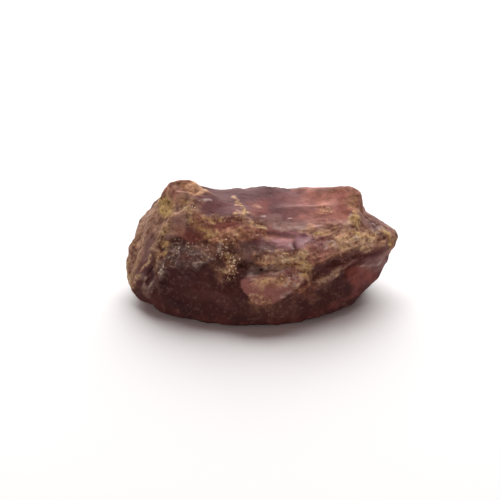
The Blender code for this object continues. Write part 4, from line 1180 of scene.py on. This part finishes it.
def mesh_piece(name, places, quads, attributes, material):
    """A smooth piece whose mesh has these points in mm, faces of four and numbers on its points."""
    mesh = bpy.data.meshes.new(name)
    mesh.from_pydata(places * MM, [], quads)
    for attribute, values in attributes.items():
        layer = mesh.attributes.new(attribute, "FLOAT", "POINT")
        layer.data.foreach_set("value", values.astype(np.float32))
    mesh.shade_smooth()
    mesh.materials.append(material)
    piece = bpy.data.objects.new(name, mesh)
    bpy.context.scene.collection.objects.link(piece)
    return piece


def tint(name, colour, description):
    """A colour that a user may change."""
    return FloatVectorProperty(name=name, description=description, default=(*colour, 1.0), min=0.0, max=1.0,
                               size=4, subtype="COLOR")


def metres(name, length, description):
    """A length that a user may change."""
    return FloatProperty(name=name, description=description, default=length, min=0.01, unit="LENGTH")


def watts(name, power, description):
    """A lamp's power that a user may change."""
    return FloatProperty(name=name, description=description, default=power, min=0.0, unit="POWER")


def spot(name, place, description):
    """A place that a user may change."""
    return FloatVectorProperty(name=name, description=description, default=place, subtype="TRANSLATION")


class StoneColours(bpy.types.PropertyGroup):
    """The colours of the stone's finishes."""

    body_dark: tint("Dark body", (0.055, 0.018, 0.019), "The stone where it is thick and dark")
    body_red: tint("Red body", (0.094, 0.027, 0.024), "The stone where light comes through it")
    body_light: tint("Light body", (0.190, 0.095, 0.080), "Worn spots of the bare stone")
    brown: tint("Brown", (0.460, 0.240, 0.150), "The stone where it is broken and lightly stained")
    tan: tint("Tan", (0.480, 0.290, 0.190), "The stone's sides, stained yellow-brown")
    rust: tint("Rust", (0.510, 0.245, 0.120), "Orange-brown stains")
    mauve: tint("Mauve", (0.410, 0.235, 0.205), "Greyish pink worn faces")
    plum: tint("Plum", (0.210, 0.084, 0.089), "Worn purple-brown faces")
    rose: tint("Rose", (0.380, 0.158, 0.135), "Clear pink faces")
    coral: tint("Coral", (0.560, 0.235, 0.180), "Bright orange-pink faces")
    # Red stains, and a painted glow of red light through thin places.
    red_and_painted_glow: tint("Red and painted glow", (0.300, 0.082, 0.062), "Red that glows through thin places")
    lilac: tint("Lilac", (0.455, 0.225, 0.270), "Small lilac faces")
    slate: tint("Slate", (0.150, 0.093, 0.083), "Blue-grey dark faces")
    # Painted shade in hollows, between grains and under ledges, and the stone's darkest tone.
    dark_and_painted_shade: tint("Dark and painted shade", (0.080, 0.031, 0.030), "Dark hollows")
    # Orange spots, and painted light on a few shaded faces.
    amber: tint("Amber", (0.850, 0.520, 0.320), "Orange spots")
    olive: tint("Olive", (0.600, 0.430, 0.150), "Yellow-green stains")
    # Pale lines, painted glints along crisp edges, and painted light in shaded grooves.
    pale_lines_and_painted_light: tint("Pale lines and painted light", (0.780, 0.640, 0.590), "Pale lines and glints along crisp edges")
    gold: tint("Gold", (0.780, 0.520, 0.230), "Golden grains of the broken stone")
    # Light grains, partly painted glints of tiny facets.
    pale: tint("Pale grit", (0.640, 0.440, 0.290), "Light grains of the broken stone")
    ochre_dark: tint("Dark ochre", (0.360, 0.200, 0.080), "The crust's darker grains")
    ochre_light: tint("Light ochre", (0.730, 0.490, 0.220), "The crust's lighter grains")
    straw_dark: tint("Dark straw", (0.430, 0.260, 0.150), "The pale crust's darker grains")
    straw_light: tint("Light straw", (0.820, 0.580, 0.350), "The pale crust's lighter grains")
    # Painted sparkles: bright specks that stand in for glints.
    painted_glitter: tint("Spark", (0.950, 0.820, 0.660), "Single bright crumbs")


class StageSettings(bpy.types.PropertyGroup):
    """The floor, the light and the camera."""

    floor_side: metres("Floor", 1.2, "Length of the floor's sides")
    floor_colour: tint("Floor colour", (0.96, 0.975, 0.975), "Plain paper white")
    sky: FloatProperty(name="Sky", description="Strength of the even light from all around", default=0.11,
                       min=0.0)
    sky_colour: tint("Sky colour", (1.0, 0.58, 0.54), "Tint of the even light, which shows in the shadow")
    lamp_power: watts("Lamp", 2.09, "Power of the soft lamp above and behind")
    lamp_colour: tint("Lamp colour", (1.0, 1.0, 1.0), "Tint of the soft lamp")
    lamp_place: spot("Lamp place", (0.01, 0.225, 0.215), "Middle of the soft lamp")
    fill_power: watts("Fill", 0.26, "Power of the weak lamp in front")
    fill_colour: tint("Fill colour", (1.0, 0.89, 0.87), "Tint of the weak lamp, which shows in the shadow")
    fill_place: spot("Fill place", (-0.10, -0.32, 0.12), "Middle of the weak lamp")
    lamp_side: metres("Lamp side", 0.37, "Length of both lamps' sides")
    target: spot("Target", (-0.00106, -0.00019, 0.00447), "What the camera looks at")
    distance: metres("Distance", 0.17895, "From the camera to its target")
    elevation: FloatProperty(name="Elevation", description="How far above level the camera looks from",
                             default=math.radians(32.0), subtype="ANGLE")
    lens: FloatProperty(name="Lens", description="Focal length of the camera, in mm", default=146.45,
                        subtype="DISTANCE_CAMERA")


class GARNET_OT_stone(bpy.types.Operator):
    """Make the stone's fine surface and its finish"""

    bl_idname = "garnet.stone"
    bl_label = "Stained garnet"

    def execute(self, context):
        view = View(context.scene.garnet_stage)
        colours = context.scene.garnet_stone
        places, quads = stone_skin()
        normals = outward(places, quads)
        rounded = softened(places, quads, WEAR_ROUNDS)
        weights = finish_weights(places, outward(rounded, quads), view)
        streaks = fibres(places, size=0.26, seed=130)
        fine_streaks = fibres(places, size=0.14, seed=140)
        weights["fibre"] = np.clip(0.5 + 0.6 * streaks + 0.3 * fine_streaks, 0, 1)
        places = worn(places, rounded, normals, weights)
        places += normals * fine_relief(places, weights)[:, None]
        places[:, 2] = np.maximum(places[:, 2], 0.0)
        weights["hollow"] = hollows(places, quads, rounds=6, depth=0.05)
        material = garnet_material({name: getattr(colours, name) for name in StoneColours.__annotations__})
        stone = mesh_piece("garnet_stone", places, quads, weights, material)
        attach(stone, "root")
        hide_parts(NODE)
        return {"FINISHED"}


class GARNET_OT_stage(bpy.types.Operator):
    """Make the floor, the light and the camera"""

    bl_idname = "garnet.stage"
    bl_label = "Stage"

    def execute(self, context):
        settings = context.scene.garnet_stage
        scene = context.scene
        add_floor(settings)
        add_sky(scene, settings)
        add_lamp("back_lamp", settings.lamp_power, settings.lamp_colour, settings.lamp_side,
                 settings.lamp_place)
        add_lamp("fill_lamp", settings.fill_power, settings.fill_colour, settings.lamp_side,
                 settings.fill_place)
        scene.camera = add_camera(settings)
        scene.view_settings.view_transform = "Standard"
        return {"FINISHED"}


class GARNET_PT_panel(bpy.types.Panel):
    """Lists the pieces and their settings"""

    bl_label = "Stained Garnet"
    bl_space_type = "VIEW_3D"
    bl_region_type = "UI"
    bl_category = "Garnet"

    def draw(self, context):
        for operator, settings in ((GARNET_OT_stone, context.scene.garnet_stone),
                                   (GARNET_OT_stage, context.scene.garnet_stage)):
            box = self.layout.box()
            box.operator(operator.bl_idname)
            for name in type(settings).__annotations__:
                box.prop(settings, name)


CLASSES = (StoneColours, StageSettings, GARNET_OT_stone, GARNET_OT_stage, GARNET_PT_panel)


def floor_material(settings):
    """Plain matt paper."""
    return Surface("paper").finished({
        "Base Color": settings.floor_colour, "Roughness": 0.9, "Specular IOR Level": 0.2})


def add_floor(settings):
    """A level square, a hair under the stone's rest face."""
    half = settings.floor_side / MM / 2
    across, along = np.meshgrid((-half, half), (-half, half))
    places = np.stack((across.ravel(), along.ravel(), np.full(4, FLOOR_DEPTH)), axis=1)
    floor = mesh_piece("floor", places, np.array([[0, 1, 3, 2]]), {}, floor_material(settings))


def add_sky(scene, settings):
    """Even light from all around."""
    world = bpy.data.worlds.new("sky")
    world.use_nodes = True
    background = world.node_tree.nodes["Background"]
    background.inputs["Color"].default_value = settings.sky_colour
    background.inputs["Strength"].default_value = settings.sky
    scene.world = world


def aimed(thing, place, target):
    """Puts a lamp or a camera at its place, turned to look at the target."""
    thing.location = place
    thing.rotation_euler = (Vector(target) - Vector(place)).to_track_quat("-Z", "Y").to_euler()
    bpy.context.scene.collection.objects.link(thing)
    return thing


def add_lamp(name, power, colour, side, place):
    """A large soft square lamp that faces the stone."""
    lamp = bpy.data.lights.new(name, "AREA")
    lamp.energy = power
    lamp.color = colour[:3]
    lamp.size = side
    aimed(bpy.data.objects.new(name, lamp), place, (0.0, 0.0, 0.0))


def add_camera(settings):
    """A long lens from in front, above the stone."""
    lens = bpy.data.cameras.new("camera")
    lens.lens = settings.lens
    lens.sensor_width = SENSOR
    lens.clip_start = MM
    view = View(settings)
    return aimed(bpy.data.objects.new("camera", lens), Vector(view.eye * MM), settings.target)


def register():
    """Adds the classes and the settings."""
    for made in CLASSES:
        bpy.utils.register_class(made)
    bpy.types.Scene.garnet_stone = PointerProperty(type=StoneColours)
    bpy.types.Scene.garnet_stage = PointerProperty(type=StageSettings)


def unregister():
    """Takes the settings and the classes away again."""
    del bpy.types.Scene.garnet_stage
    del bpy.types.Scene.garnet_stone
    for made in reversed(CLASSES):
        bpy.utils.unregister_class(made)


def main():
    """Makes the stone and the stage."""
    register()
    bpy.ops.garnet.stone()
    bpy.ops.garnet.stage()


if __name__ == "__main__":
    main()
